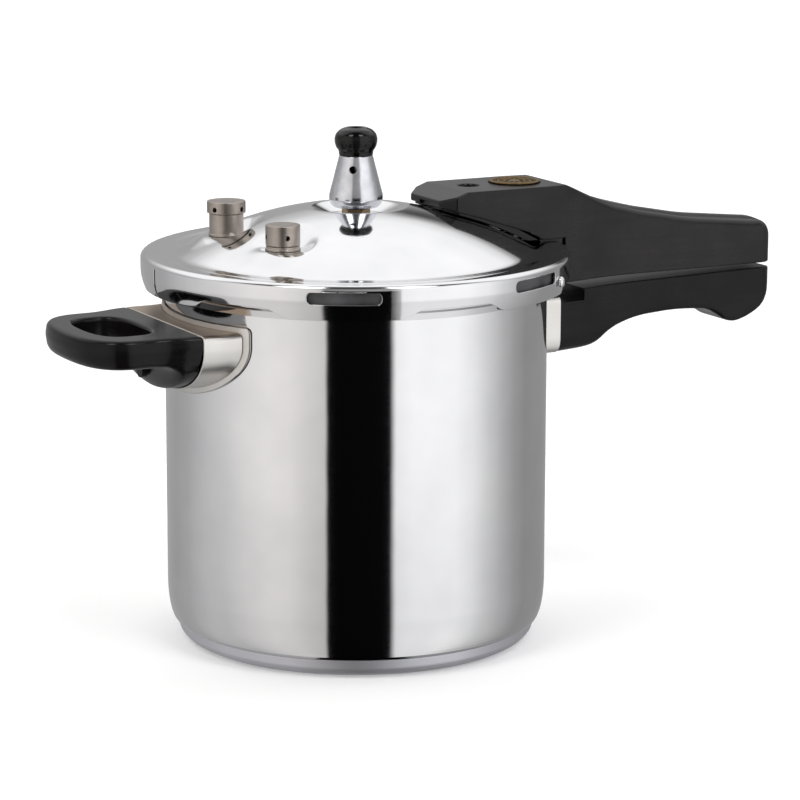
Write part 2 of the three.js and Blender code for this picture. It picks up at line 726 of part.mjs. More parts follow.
// ---- Long handle ----
// Both halves share one plan: wide over the lid, narrow along the grip.
function handlePlan() {
  const rim = LID_RADIUS;
  const tip = rim + HANDLE_LENGTH;
  const front = rim - HANDLE_FRONT;
  const wide = HANDLE_HALF_WIDTH;
  const grip = GRIP_HALF_WIDTH;
  const side = [
    [front, wide - 7],
    [front + 7, wide],
    [rim, wide],
    [rim + 12, wide - 4],
    [rim + 24, grip + 2],
    [rim + 42, grip],
    [tip - 8, grip],
    [tip - 2.5, grip - 3],
    [tip, grip - 8],
  ];
  return polygon([...side.map(([x, y]) => [x, -y]), ...side.reverse()]);
}

const SPLIT_Z = LID_TOP_Z - HANDLE_SPLIT;
const TOP_Z = LID_TOP_Z + HANDLE_TOP;
const TONGUE_LOW = LID_TOP_Z - 13;
const TONGUE_HIGH = TONGUE_LOW + 2.5;
const TONGUE_LENGTH = 45;
const HANDLE_SCREW_X = LID_RADIUS + 34;
const STUD_X = LID_RADIUS - MEDALLION_IN;
const MEDALLION_SEAT = TOP_Z - 1.2;

function upperHandleSide() {
  const rim = LID_RADIUS;
  const front = rim - HANDLE_FRONT;
  const tip = rim + HANDLE_LENGTH;
  const shape = new THREE.Shape();
  shape.moveTo(front, domeZ(front) + 1);
  shape.lineTo(front, domeZ(front) + 4.6);
  shape.lineTo(front + 13.5, TOP_Z);
  shape.lineTo(rim + 1.5, TOP_Z);
  shape.splineThru([
    new THREE.Vector2(rim + 10, TOP_Z - 3.6),
    new THREE.Vector2(rim + 20, TOP_Z - 7.8),
    new THREE.Vector2(rim + 36, TOP_Z - 12.8),
    new THREE.Vector2(rim + HANDLE_LENGTH * 0.4, TOP_Z - 17.9),
    new THREE.Vector2(rim + HANDLE_LENGTH * 0.63, TOP_Z - 24),
    new THREE.Vector2(rim + HANDLE_LENGTH * 0.82, TOP_Z - 26.6),
    new THREE.Vector2(rim + HANDLE_LENGTH * 0.93, TOP_Z - 28.6),
  ]);
  shape.quadraticCurveTo(tip - 0.5, TOP_Z - 31, tip, SPLIT_Z + 12);
  shape.lineTo(tip, SPLIT_Z + 2);
  shape.lineTo(tip - 2, SPLIT_Z);
  shape.lineTo(rim + 1.8, SPLIT_Z);
  shape.lineTo(rim + 1.8, LID_TOP_Z + 0.4);
  shape.lineTo(rim - 13, LID_TOP_Z + 0.4);
  shape.lineTo(rim - 21.5, LID_TOP_Z + 5.4);
  shape.lineTo(rim - 52, domeZ(rim - 52) + 1);
  return shape;
}

// The lid's outside with a gap round it, for what is fitted over the lid.
function lidEnvelope() {
  return turned([...lidProfile(-GAP - 0.2), [0, SKIRT_Z]]);
}

function upperHandle() {
  const rim = LID_RADIUS;
  const plan = raised(handlePlan(), SPLIT_Z - 20, TOP_Z + 20);
  let handle = carriedY(upperHandleSide(), -60, 60, 2).intersect(plan);
  handle = handle.subtract(lidEnvelope());
  const front = rim - HANDLE_FRONT;
  const slotHalf = FRONT_SLOT_WIDTH / 2;
  const slot = box([front - 8, -slotHalf, TOP_Z - 60], [front + 3, slotHalf, domeZ(front) + 3]);
  handle = handle.subtract(slot);
  const pad = disc(PAD_RADIUS + LID_WALL + 2 * GAP, FLOAT_PAD_Z - 9, FLOAT_PAD_Z + 2 * GAP, 20);
  handle = handle.subtract(around(pad, 0, FLOAT_DISTANCE));
  handle = handle.subtract(around(disc(9.5, FLOAT_PAD_Z - 4, TOP_Z - 5), 0, FLOAT_DISTANCE));
  handle = handle.subtract(around(disc(SIGHT_RADIUS, TOP_Z - 8, TOP_Z + 2, 20), 0, FLOAT_DISTANCE));
  handle = handle.subtract(around(disc(MEDALLION_RADIUS + GAP, MEDALLION_SEAT, TOP_Z + 2, 28), 0, STUD_X));
  handle = handle.subtract(around(disc(SCREW_HEAD + 1 + GAP, TOP_Z - 7, TOP_Z), 0, STUD_X));
  handle = handle.subtract(around(disc(SCREW_RADIUS + GAP, LID_TOP_Z, TOP_Z), 0, STUD_X));
  handle = handle.subtract(around(disc(5 + GAP, LID_TOP_Z - 4, TOP_Z - 12.7), 0, STUD_X));
  const wallHalf = BRACKET_WIDTH / 2 + 1 + GAP;
  const wallEnd = rim + 1 + BRACKET_WALL + 2 * GAP;
  const wall = box([rim - 2, -wallHalf, SPLIT_Z - 2], [wallEnd, wallHalf, LID_TOP_Z - 1]);
  const tongueHalf = TONGUE_WIDTH / 2 + GAP;
  const tongue = box(
    [rim, -tongueHalf, TONGUE_LOW - GAP],
    [rim + TONGUE_LENGTH + GAP, tongueHalf, TONGUE_HIGH + GAP],
  );
  handle = handle.subtract(wall).subtract(tongue);
  handle = handle.subtract(around(disc(SCREW_HEAD + GAP, SPLIT_Z - 2, SPLIT_Z + 5), 0, HANDLE_SCREW_X));
  return handle.subtract(around(disc(SCREW_RADIUS + GAP, SPLIT_Z, TONGUE_HIGH + 12), 0, HANDLE_SCREW_X));
}

function lidBracket() {
  const inner = LID_RADIUS + GAP + 0.2;
  const half = BRACKET_WIDTH / 2;
  const tongueHalf = TONGUE_WIDTH / 2;
  const plate = ring(inner, inner + BRACKET_WALL, SPLIT_Z + 3, LID_TOP_Z - 3, 96)
    .intersect(box([0, -half, 0], [LID_RADIUS + 20, half, LID_TOP_Z]));
  const tongueEnd = LID_RADIUS + TONGUE_LENGTH;
  const tongue = box([LID_RADIUS + 1, -tongueHalf, TONGUE_LOW], [tongueEnd, tongueHalf, TONGUE_HIGH]);
  const clear = around(disc(SCREW_RADIUS + GAP, TONGUE_LOW - 1, TONGUE_HIGH + 1), 0, HANDLE_SCREW_X);
  return plate.add(tongue).subtract(clear);
}

function screw(low, high, headLow, headHigh, headRadius = SCREW_HEAD) {
  return disc(SCREW_RADIUS, low, high, 12).add(disc(headRadius, headLow, headHigh, 12));
}

function lidStud() {
  const high = TOP_Z - 13;
  const blind = disc(SCREW_RADIUS + GAP, LID_TOP_Z + 5, high + 1);
  const stud = disc(5, LID_TOP_Z - 2, high).subtract(blind);
  return around(stud, 0, STUD_X).subtract(lidEnvelope());
}

function medallion() {
  const high = TOP_Z + 1.2;
  return turned(
    [
      [0, MEDALLION_SEAT + GAP],
      [MEDALLION_RADIUS, MEDALLION_SEAT + GAP],
      [MEDALLION_RADIUS, high - 0.5],
      [MEDALLION_RADIUS - 0.6, high],
      [MEDALLION_RADIUS - 2, high],
      [MEDALLION_RADIUS - 2.6, high - 0.5],
      [0, high - 0.5],
    ],
    28,
  );
}

add("lid", "upper_handle", upperHandle(), PHENOLIC);
add("lid", "lid_bracket", lidBracket(), SATIN_STEEL);
add("lid", "lid_stud", lidStud(), SATIN_STEEL);
const studScrew = screw(LID_TOP_Z + 7, TOP_Z - 5, TOP_Z - 6.7, TOP_Z - 3, SCREW_HEAD + 1);
add("lid", "stud_screw", around(studScrew, 0, STUD_X), SATIN_STEEL);
const tongueScrew = screw(SPLIT_Z + 1.5, TONGUE_HIGH + 11, SPLIT_Z + 1.5, SPLIT_Z + 4.7);
add("lid", "tongue_screw", around(tongueScrew, 0, HANDLE_SCREW_X), SATIN_STEEL);
add("lid", "medallion", around(medallion(), 0, STUD_X), BRASS);

// ---- Lower handle and its sleeve ----
const SLEEVE_TOP = RIM_Z - LOWER_TOP;
const SLEEVE_BOTTOM = RIM_Z - LOWER_BOTTOM;
const SLEEVE_END = POT_RADIUS + LOWER_BRACKET_REACH;
const LOWER_SCREW_Z = SLEEVE_BOTTOM + 8;
const SCREW_END = POT_RADIUS + 39;
const potBarrel = (extra, low, high) => disc(POT_RADIUS + extra, low, high, ROUND);

// A rectangle in Y and Z with rounded lower corners and small upper ones.
function sleeveSection(inset) {
  const half = HANDLE_HALF_WIDTH - inset;
  const low = SLEEVE_BOTTOM + inset;
  const high = SLEEVE_TOP - inset;
  const round = 9 - inset;
  const small = 3;
  const shape = new THREE.Shape();
  shape.moveTo(-half + round, low);
  shape.lineTo(half - round, low);
  shape.quadraticCurveTo(half, low, half, low + round);
  shape.lineTo(half, high - small);
  shape.lineTo(half - small, high);
  shape.lineTo(-half + small, high);
  shape.lineTo(-half, high - small);
  shape.lineTo(-half, low + round);
  shape.quadraticCurveTo(-half, low, -half + round, low);
  return shape;
}

function lowerSleeve() {
  const inside = POT_RADIUS / 2;
  const tube = carriedX(sleeveSection(0), inside, SLEEVE_END)
    .subtract(carriedX(sleeveSection(BRACKET_WALL), inside - 1, SLEEVE_END + 1));
  const plate = carriedX(sleeveSection(0.2), inside, SLEEVE_END)
    .intersect(potBarrel(GAP + 0.2 + BRACKET_WALL, SLEEVE_BOTTOM - 5, SLEEVE_TOP + 5));
  const boss = barX(5, inside, POT_RADIUS + 7, LOWER_SCREW_Z);
  return tube
    .add(plate)
    .add(boss)
    .subtract(potBarrel(GAP + 0.2, SLEEVE_BOTTOM - 9, SLEEVE_TOP + 9))
    .subtract(barX(SCREW_RADIUS + GAP, POT_RADIUS + 2.5, SLEEVE_END, LOWER_SCREW_Z, 12));
}

function lowerHandleSide() {
  const rim = LID_RADIUS;
  const tip = rim + HANDLE_LENGTH;
  const top = SPLIT_Z - SPLIT_GAP;
  const ledge = SLEEVE_TOP - 3.5;
  const low = SLEEVE_BOTTOM;
  const shape = new THREE.Shape();
  const along = (share) => rim + HANDLE_LENGTH * share;
  shape.moveTo(SLEEVE_END + GAP, low);
  shape.lineTo(along(0.105), low + 0.3);
  shape.quadraticCurveTo(along(0.185), low + 0.6, along(0.21), low + 6);
  shape.quadraticCurveTo(along(0.37), low + 16.2, along(0.56), low + 16.2);
  shape.quadraticCurveTo(along(0.69), low + 16.2, along(0.765), low + 10.2);
  shape.quadraticCurveTo(along(0.815), low + 5.6, along(0.865), low + 9);
  shape.quadraticCurveTo(along(0.985), low + 17, tip, top - 4);
  shape.lineTo(tip - 2, top);
  shape.lineTo(rim + 15.5, top - SPLIT_WEDGE);
  shape.lineTo(rim + 15.5, ledge);
  shape.lineTo(SLEEVE_END + GAP, ledge);
  return shape;
}

function lowerHandle() {
  const grip = carriedY(lowerHandleSide(), -60, 60).intersect(raised(handlePlan(), 0, LID_TOP_Z));
  const shaped = grip.intersect(carriedX(sleeveSection(0), 0, 2 * POT_RADIUS + 2 * HANDLE_LENGTH)
    .add(box([LID_RADIUS + 24, -60, 0], [LID_RADIUS + HANDLE_LENGTH + 9, 60, LID_TOP_Z]))
    .add(box([LID_RADIUS - 9, -60, SLEEVE_BOTTOM + 20], [LID_RADIUS + HANDLE_LENGTH + 9, 60, LID_TOP_Z])));
  const nose = carriedX(sleeveSection(BRACKET_WALL + GAP), POT_RADIUS + 3, SLEEVE_END + 1)
    .intersect(box([0, -60, 0], [2 * POT_RADIUS, 60, SLEEVE_TOP - BRACKET_WALL - 3.5]));
  return shaped
    .add(nose)
    .subtract(potBarrel(3.5, SLEEVE_BOTTOM - 9, SLEEVE_TOP + 9))
    .subtract(barX(5 + GAP, POT_RADIUS, POT_RADIUS + 7 + GAP, LOWER_SCREW_Z))
    .subtract(barX(SCREW_RADIUS + GAP, POT_RADIUS, SCREW_END, LOWER_SCREW_Z, 12))
    .subtract(barX(SCREW_HEAD + GAP, SCREW_END - 3.5, SCREW_END + 25, LOWER_SCREW_Z, 12));
}

add("pot", "lower_sleeve", lowerSleeve(), SATIN_STEEL);
add("pot", "lower_handle", lowerHandle(), PHENOLIC);
const lowerScrew = barX(SCREW_RADIUS, POT_RADIUS + 3, SCREW_END, LOWER_SCREW_Z, 12)
  .add(barX(SCREW_HEAD, SCREW_END - 3.2, SCREW_END, LOWER_SCREW_Z, 12));
add("pot", "lower_handle_screw", lowerScrew, SATIN_STEEL);

// ---- Helper handle, on the other side ----
const HELPER_TOP_Z = RIM_Z - HELPER_TOP;
const HELPER_END = -(POT_RADIUS + HELPER_REACH);
const HELPER_SCREW_Z = HELPER_TOP_Z - 24;
const HELPER_SCREW_END = HELPER_END - 14;

// Flat top, short straight sides and an elliptic underside, in Y and Z.
function helperSection(inset, lift = 0, raise = 0) {
  const half = HELPER_HALF_WIDTH - inset;
  const high = HELPER_TOP_Z - inset + lift;
  const middle = HELPER_TOP_Z - HELPER_SIDE;
  const drop = HELPER_DROP - inset - raise;
  const shape = new THREE.Shape();
  shape.moveTo(half - 3, high);
  shape.lineTo(-half + 3, high);
  shape.lineTo(-half, high - 3);
  shape.lineTo(-half, middle);
  shape.absellipse(0, middle, half, drop, Math.PI, 2 * Math.PI, false);
  shape.lineTo(half, high - 3);
  return shape;
}

const HELPER_CURVES = 12;

function helperPlate() {
  const barrel = potBarrel(GAP + 0.2 + 1.2, 0, RIM_Z).subtract(potBarrel(GAP + 0.2, -1, RIM_Z + 1));
  const section = helperSection(-3, 1, 3);
  return barrel.intersect(carriedX(section, -POT_RADIUS - 20, -POT_RADIUS / 2, HELPER_CURVES));
}

function helperSleeve() {
  const inside = -POT_RADIUS / 2;
  const skin = 2 * GAP + 0.2 + 1.2;
  const tube = carriedX(helperSection(0), HELPER_END, inside, HELPER_CURVES)
    .subtract(carriedX(helperSection(BRACKET_WALL), HELPER_END - 1, inside + 1, HELPER_CURVES));
  const plate = carriedX(helperSection(0.2), HELPER_END, inside, HELPER_CURVES)
    .intersect(potBarrel(skin + BRACKET_WALL, 0, RIM_Z));
  const boss = barX(5, -POT_RADIUS - 8, inside, HELPER_SCREW_Z);
  return tube
    .add(plate)
    .add(boss)
    .subtract(potBarrel(skin, -1, RIM_Z + 1))
    .subtract(barX(SCREW_RADIUS + GAP, HELPER_END - 1, -POT_RADIUS - 4, HELPER_SCREW_Z, 12));
}

function loopPlan(half, length, round) {
  const shape = new THREE.Shape();
  const start = HELPER_END - GAP;
  shape.moveTo(start, HELPER_HALF_WIDTH - 1);
  shape.lineTo(start - 18, half);
  shape.lineTo(start - length + round, half);
  shape.quadraticCurveTo(start - length, half, start - length, 0);
  shape.quadraticCurveTo(start - length, -half, start - length + round, -half);
  shape.lineTo(start - 18, -half);
  shape.lineTo(start, -HELPER_HALF_WIDTH + 1);
  return shape;
}

function fingerHole() {
  const near = HELPER_END - 16;
  const far = near - FINGER_HOLE_LENGTH;
  const half = FINGER_HOLE_HALF_WIDTH;
  const shape = new THREE.Shape();
  shape.moveTo(near, -half + 5);
  shape.quadraticCurveTo(near, -half, near - 5, -half);
  shape.quadraticCurveTo(far, -half, far, 0);
  shape.quadraticCurveTo(far, half, near - 5, half);
  shape.quadraticCurveTo(near, half, near, half - 5);
  return raised(shape, HELPER_TOP_Z - 60, HELPER_TOP_Z + 10);
}

function helperHandle() {
  const under = HELPER_TOP_Z - LOOP_THICKNESS;
  const loop = raised(loopPlan(LOOP_HALF_WIDTH, LOOP_LENGTH, 26), under, HELPER_TOP_Z, 8);
  const low = HELPER_TOP_Z - HELPER_SIDE - HELPER_DROP;
  const wedge = carriedY(
    polygon([
      [HELPER_END - GAP, low - 2],
      [HELPER_END - GAP - 8, low - 2],
      [HELPER_END - GAP - 14.5, under + 1],
      [HELPER_END - GAP, HELPER_TOP_Z],
    ]),
    -70,
    70,
  );
  const section = carriedX(helperSection(0), HELPER_END - 70, HELPER_END + 5, HELPER_CURVES);
  const root = wedge.intersect(carriedX(helperSection(1), HELPER_END - 70, HELPER_END + 5, HELPER_CURVES));
  const nose = carriedX(helperSection(BRACKET_WALL + GAP), HELPER_END - 1, HELPER_END + 6, HELPER_CURVES);
  let handle = loop
    .intersect(section)
    .add(root)
    .add(nose.subtract(potBarrel(5.5, 0, RIM_Z)))
    .subtract(fingerHole())
    .subtract(barX(SCREW_HEAD + GAP, HELPER_SCREW_END - 20, HELPER_SCREW_END + 3.5, HELPER_SCREW_Z, 12))
    .subtract(barX(SCREW_RADIUS + GAP, HELPER_SCREW_END, -POT_RADIUS, HELPER_SCREW_Z, 12))
    .subtract(barX(5 + GAP, -POT_RADIUS - 8 - GAP, -POT_RADIUS, HELPER_SCREW_Z));
  for (const side of [-1, 1]) {
    const pocket = box([HELPER_END - 25, 9, under - 10], [HELPER_END - 4, 20, under - 1.5]);
    handle = handle.subtract(side > 0 ? pocket : pocket.mirror([0, 1, 0]));
  }
  return handle;
}

add("pot", "helper_plate", helperPlate(), SATIN_STEEL);
add("pot", "helper_sleeve", helperSleeve(), SATIN_STEEL);
add("pot", "helper_handle", helperHandle(), PHENOLIC);
const helperScrew = barX(SCREW_RADIUS, HELPER_SCREW_END, -POT_RADIUS - 4.5, HELPER_SCREW_Z, 12)
  .add(barX(SCREW_HEAD, HELPER_SCREW_END, HELPER_SCREW_END + 3.2, HELPER_SCREW_Z, 12));
add("pot", "helper_handle_screw", helperScrew, SATIN_STEEL);

export default cooker;
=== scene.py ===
"""Stovetop pressure cooker: the finished looks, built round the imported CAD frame.

Shapes are worked out in millimetres with numpy and scaled to metres when a mesh is made.
"""
import math

import bmesh
import bpy
import numpy as np
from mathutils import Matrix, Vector


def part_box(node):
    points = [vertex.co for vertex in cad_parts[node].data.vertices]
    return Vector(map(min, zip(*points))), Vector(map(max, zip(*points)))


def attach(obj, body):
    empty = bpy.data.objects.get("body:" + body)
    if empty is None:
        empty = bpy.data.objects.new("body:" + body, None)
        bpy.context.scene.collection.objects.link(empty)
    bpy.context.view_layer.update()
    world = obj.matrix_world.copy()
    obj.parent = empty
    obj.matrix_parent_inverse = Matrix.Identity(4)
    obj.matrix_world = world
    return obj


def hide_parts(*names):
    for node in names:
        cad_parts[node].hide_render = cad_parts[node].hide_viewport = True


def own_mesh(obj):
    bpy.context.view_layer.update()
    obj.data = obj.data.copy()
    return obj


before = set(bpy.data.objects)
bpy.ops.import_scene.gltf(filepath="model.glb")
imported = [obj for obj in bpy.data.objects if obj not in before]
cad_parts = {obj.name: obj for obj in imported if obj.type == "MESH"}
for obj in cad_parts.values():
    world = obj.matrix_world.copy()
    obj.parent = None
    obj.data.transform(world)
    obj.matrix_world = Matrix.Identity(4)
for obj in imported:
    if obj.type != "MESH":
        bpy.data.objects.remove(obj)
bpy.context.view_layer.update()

MM = 0.001
MERGE = 2e-6  # metres

# ---- Sizes shared with the CAD part, in millimetres ----
POT_RADIUS = 101.0
POT_WALL = 1.2
RIM_Z = 194.5
BASE_HEIGHT = 10.0
BASE_FOOT = 88.0
FLOOR_Z = 6.6
LID_RADIUS = 113.5
LID_TOP = 207.5
LID_WALL = 1.2
SKIRT_Z = 189.5
SKIRT_TAPER = 1.9
SKIRT_BEND = 10.2
DOME_FOOT = 95.0
DOME_RISE = 25.4
CRATER_RADIUS = 24.5
CRATER_FLOOR = 14.0
CRATER_DEPTH = 4.8
LUG_STEP = 60.0
NOTCH_RISE = 5.0
NOTCH_HALF = 8.8
NOTCH_FILLET = 7.0
WINDOW_TURNS = (62.0, 120.0, -62.0, -120.0)
WINDOW_HALF = 9.5
WINDOW_LOW = 197.7
WINDOW_HIGH = 203.7
VALVE_RING = 68.4
FLOAT_DISTANCE = 67.3
VALVE_TURNS = (160.5, -150.0)
PAD_RADIUS = 9.2
PAD_DROP = 1.5
PAD_PRESS = 1.3
SLIT_TURN = 177.0
SLIT_HALF = 0.42
BAND_LOW = 196.0
BAND_HIGH = 204.4
SHOULDER_ROUND = 3.1
HANDLE_TIP = 254.0
HANDLE_FRONT = 41.0
HEAD_HALF = 23.5
TOP_Z = 237.0
SPLIT_Z = 183.7
SLEEVE_TOP = 176.5
SLEEVE_BOTTOM = 145.0
SLEEVE_END = 112.0
HELPER_TOP = 178.0
HELPER_END = -111.0
STUD_X = 95.5


def dome_z(r):
    """Height of the lid's dome: a parabola that falls from its crown with the square of the radius."""
    return LID_TOP - 0.5 + DOME_RISE * (1 - (r / DOME_FOOT) ** 2)


CRATER_Z = dome_z(CRATER_RADIUS) - CRATER_DEPTH
VALVE_PAD = dome_z(VALVE_RING) - PAD_DROP
FLOAT_PAD = dome_z(FLOAT_DISTANCE) - PAD_DROP


# ---- Curves ----
def rounded(points, radii, steps=6, closed=True):
    """A polygon with its corners rounded: each corner becomes the quadratic curve from a point
    before it to a point after it, set back by radius over the tangent of half the corner's angle
    and by no more than just under half of either side."""
    p = np.asarray(points, float)
    radii = np.broadcast_to(np.asarray(radii, float), len(p)).copy()
    before = np.roll(p, 1, 0) - p
    after = np.roll(p, -1, 0) - p
    if not closed:
        radii[[0, -1]] = 0
        before[0] = -after[0]
        after[-1] = -before[-1]
    size_b = np.maximum(np.linalg.norm(before, axis=1), 1e-9)
    size_a = np.maximum(np.linalg.norm(after, axis=1), 1e-9)
    cosine = (before * after).sum(1) / size_b / size_a
    half = np.arccos(np.clip(cosine, -1, 0.9999)) / 2
    cut = np.minimum(radii / np.tan(half).clip(1e-6), 0.49 * np.minimum(size_b, size_a))
    start = p + before / size_b[:, None] * cut[:, None]
    end = p + after / size_a[:, None] * cut[:, None]
    t = np.linspace(0, 1, steps)[None, :, None]
    arcs = (1 - t) ** 2 * start[:, None] + 2 * t * (1 - t) * p[:, None] + t**2 * end[:, None]
    return arcs.reshape(-1, 2)


def length_along(curve):
    """The length from a polyline's start to each of its points."""
    return np.concatenate([[0], np.cumsum(np.linalg.norm(np.diff(curve, axis=0), axis=1))])


def resampled(curve, spacing=1.0, steps=None):
    """Points along a polyline at even steps of its length, ends included."""
    along = length_along(curve)
    steps = steps or max(1, int(round(along[-1] / spacing)))
    at = np.linspace(0, along[-1], steps + 1)
    return np.stack([np.interp(at, along, curve[:, i]) for i in range(curve.shape[1])], 1)


def smooth(low, high, value):
    """Smooth step: 0 below low, 1 above high, 3t2 - 2t3 between them."""
    t = np.clip((value - low) / (high - low), 0, 1)
    return t * t * (3 - 2 * t)


# ---- Meshes ----
def grid_faces(rows, columns, wrap_rows=False, wrap_columns=True, keep=None):
    """Quads between neighbouring points of a grid; keep leaves out the cells where it is false."""
    i = np.arange(rows if wrap_rows else rows - 1)[:, None]
    j = np.arange(columns if wrap_columns else columns - 1)[None, :]
    i2, j2 = (i + 1) % rows, (j + 1) % columns
    corners = [a * columns + b for a, b in ((i, j), (i, j2), (i2, j2), (i2, j))]
    faces = np.stack(np.broadcast_arrays(*corners), -1)
    return faces[keep] if keep is not None else faces.reshape(-1, 4)


def joined(name, blocks):
    """An object from blocks of (points, faces): joined, doubles merged, normals turned outwards."""
    points = [np.asarray(block[0], float).reshape(-1, 3) for block in blocks]
    starts = np.cumsum([0, *map(len, points)])
    faces = [np.asarray(block[1]) + start for block, start in zip(blocks, starts)]
    mesh = bpy.data.meshes.new(name)
    mesh.from_pydata(np.concatenate(points) * MM, [], np.concatenate(faces).tolist())
    work = bmesh.new()
    work.from_mesh(mesh)
    bmesh.ops.remove_doubles(work, verts=work.verts, dist=MERGE)
    bmesh.ops.recalc_face_normals(work, faces=work.faces)
    work.to_mesh(mesh)
    work.free()
    made = bpy.data.objects.new(name, mesh)
    bpy.context.scene.collection.objects.link(made)
    return made


def carve(piece, block):
    """Cuts a closed shape out of a piece and keeps the result as its mesh."""
    cutter = joined("cutter", [block])
    carving = piece.modifiers.new("carve", "BOOLEAN")
    carving.operation = "DIFFERENCE"
    carving.solver = "EXACT"
    carving.object = cutter
    bpy.context.view_layer.update()
    carved = bpy.data.meshes.new_from_object(piece.evaluated_get(bpy.context.evaluated_depsgraph_get()))
    piece.modifiers.clear()
    piece.data = carved
    bpy.data.objects.remove(cutter)


def build(name, blocks, body, node, material, sharp=38, solidify=0, bevel=0, cut=()):
    """One finished piece: edges sharper than sharp degrees stay crisp, and it stands for its CAD node."""
    piece = joined(name, blocks)
    piece.data.materials.append(material)
    for block in cut:
        carve(piece, block)
    mesh = piece.data
    mesh.polygons.foreach_set("use_smooth", np.ones(len(mesh.polygons), bool))
    mesh.set_sharp_from_angle(angle=math.radians(sharp))
    if solidify:
        wall = piece.modifiers.new("wall", "SOLIDIFY")
        wall.thickness = solidify * MM
        wall.offset = -1
        wall.use_even_offset = True
    if bevel:
        edge = piece.modifiers.new("edge", "BEVEL")
        edge.width = bevel * MM
        edge.segments = 3
        edge.limit_method = "ANGLE"
        edge.angle_limit = math.radians(50)
        edge.use_clamp_overlap = False
    weigh = piece.modifiers.new("shading", "WEIGHTED_NORMAL")
    weigh.keep_sharp = True
    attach(piece, body)
    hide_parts(node)
    return piece


def turned(outline, radii=0.3, columns=96, centre=(0, 0), steps=5):
    """A closed outline of [radius, height] with rounded corners, turned once about an upright axis."""
    p = np.asarray(outline, float)
    radii = np.where(p[:, 0] < 1e-6, 0, np.broadcast_to(np.asarray(radii, float), len(p)))
    curve = rounded(p, radii, steps)
    turn = np.linspace(0, 2 * np.pi, columns, endpoint=False)
    r, z = curve[:, :1], curve[:, 1:]
    points = np.stack([
        centre[0] + r * np.cos(turn),
        centre[1] + r * np.sin(turn),
        z + 0 * turn,
    ], -1)
    return points, grid_faces(len(curve), columns, wrap_rows=True)


def turned_about(outline, direction, origin, radii=0.2, columns=32, steps=4):
    """The same, turned about a level axis through origin that points along direction in degrees;
    the outline's height is the distance along that axis."""
    points, faces = turned(outline, radii, columns, (0, 0), steps)
    a = math.radians(direction)
    along = np.array([math.cos(a), math.sin(a), 0])
    side = np.array([-math.sin(a), math.cos(a), 0])
    up = np.array([0, 0, 1.0])
    turned_points = points[..., :1] * side + points[..., 1:2] * up + points[..., 2:] * along
    return turned_points + np.asarray(origin, float), faces


def ring_about(grid, closed=False):
    """Faces of a grid of rings, one ring a row; closed joins the last ring to the first."""
    return grid, grid_faces(grid.shape[0], grid.shape[1], wrap_rows=closed)


def capped(rings):
    """Rings closed at both ends by copies of the end rings, drawn in to their middles."""
    shares = np.array([0, 0.35, 0.7])[:, None, None]
    first, last = rings[0], rings[-1]
    middle_first, middle_last = first.mean(0), last.mean(0)
    start = middle_first + (first - middle_first) * shares
    end = middle_last + (last - middle_last) * shares[::-1]
    return ring_about(np.concatenate([start, rings, end]))


def box_rings(x, half, low, high, round_low, round_high, crown=0, flat=14, side=8, arc=7):
    """Rings of a rounded box along X: at each x a rectangle in Y and Z whose lower and upper corners
    are quarter circles, with a top that rises by crown times one minus the square of y over the half
    width."""
    column = lambda v: np.broadcast_to(np.asarray(v, float), len(x))[:, None]
    w, lo, hi, rb, rt, rise = map(column, (half, low, high, round_low, round_high, crown))
    u = np.linspace(-1, 1, flat, endpoint=False)[None]
    v = np.linspace(0, 1, side, endpoint=False)[None]
    a = np.linspace(0, np.pi / 2, arc, endpoint=False)[None]
    top = lambda y, z: z + rise * (1 - (y / w) ** 2)
    right = [
        (u * (w - rb), lo + 0 * u),
        (w - rb + rb * np.sin(a), lo + rb - rb * np.cos(a)),
        (w + 0 * v, lo + rb + v * (hi - rt - lo - rb)),
    ]
    y_arc = w - rt + rt * np.cos(a)
    right.append((y_arc, top(y_arc, hi - rt + rt * np.sin(a))))
    y_top = -u * (w - rt)
    right.append((y_top, top(y_top, hi + 0 * u)))
    y_left = -(w - rt) - rt * np.sin(a)
    left = [
        (y_left, top(y_left, hi - rt + rt * np.cos(a))),
        (-w + 0 * v, hi - rt - v * (hi - rt - lo - rb)),
        (-(w - rb) - rb * np.cos(a), lo + rb - rb * np.sin(a)),
    ]
    y = np.concatenate([part[0] for part in right + left], 1)
    z = np.concatenate([part[1] for part in right + left], 1)
    return np.stack([np.asarray(x)[:, None] + 0 * y, y, z], -1)


def along_x(start, *others, closing=(), spacing=2.5):
    """Stations along the handle: even steps from start to its tip, joined with the other stations
    and with those that close up towards an end."""
    even = np.linspace(start, HANDLE_TIP, int((HANDLE_TIP - start) / spacing) + 1)
    x = np.unique(np.round(np.concatenate([even, *others]), 3))
    x = x[(x >= start) & (x <= HANDLE_TIP)]
    x = np.unique(np.concatenate([x[np.concatenate([[True], np.diff(x) > 0.02])], *closing]))
    return x[np.concatenate([[True], np.diff(x) > 0.015])]


def follow(x, curve):
    """Height of a curve of [x, value] at each x."""
    return np.interp(x, curve[:, 0], curve[:, 1])


def end_round(x, end, radius):
    """How far a section draws in near an end, so that the end's edge is a quarter circle."""
    t = np.clip(np.abs(x - end) / radius, 0, 1)
    return radius * (1 - np.sqrt(np.clip(1 - (1 - t) ** 2, 0, 1)))


# ---- Materials ----
def linear(code):
    """An sRGB hex colour as linear red, green, blue and alpha."""
    values = [int(code[i : i + 2], 16) / 255 for i in (1, 3, 5)]
    return tuple(v / 12.92 if v <= 0.04045 else ((v + 0.055) / 1.055) ** 2.4 for v in values) + (1,)


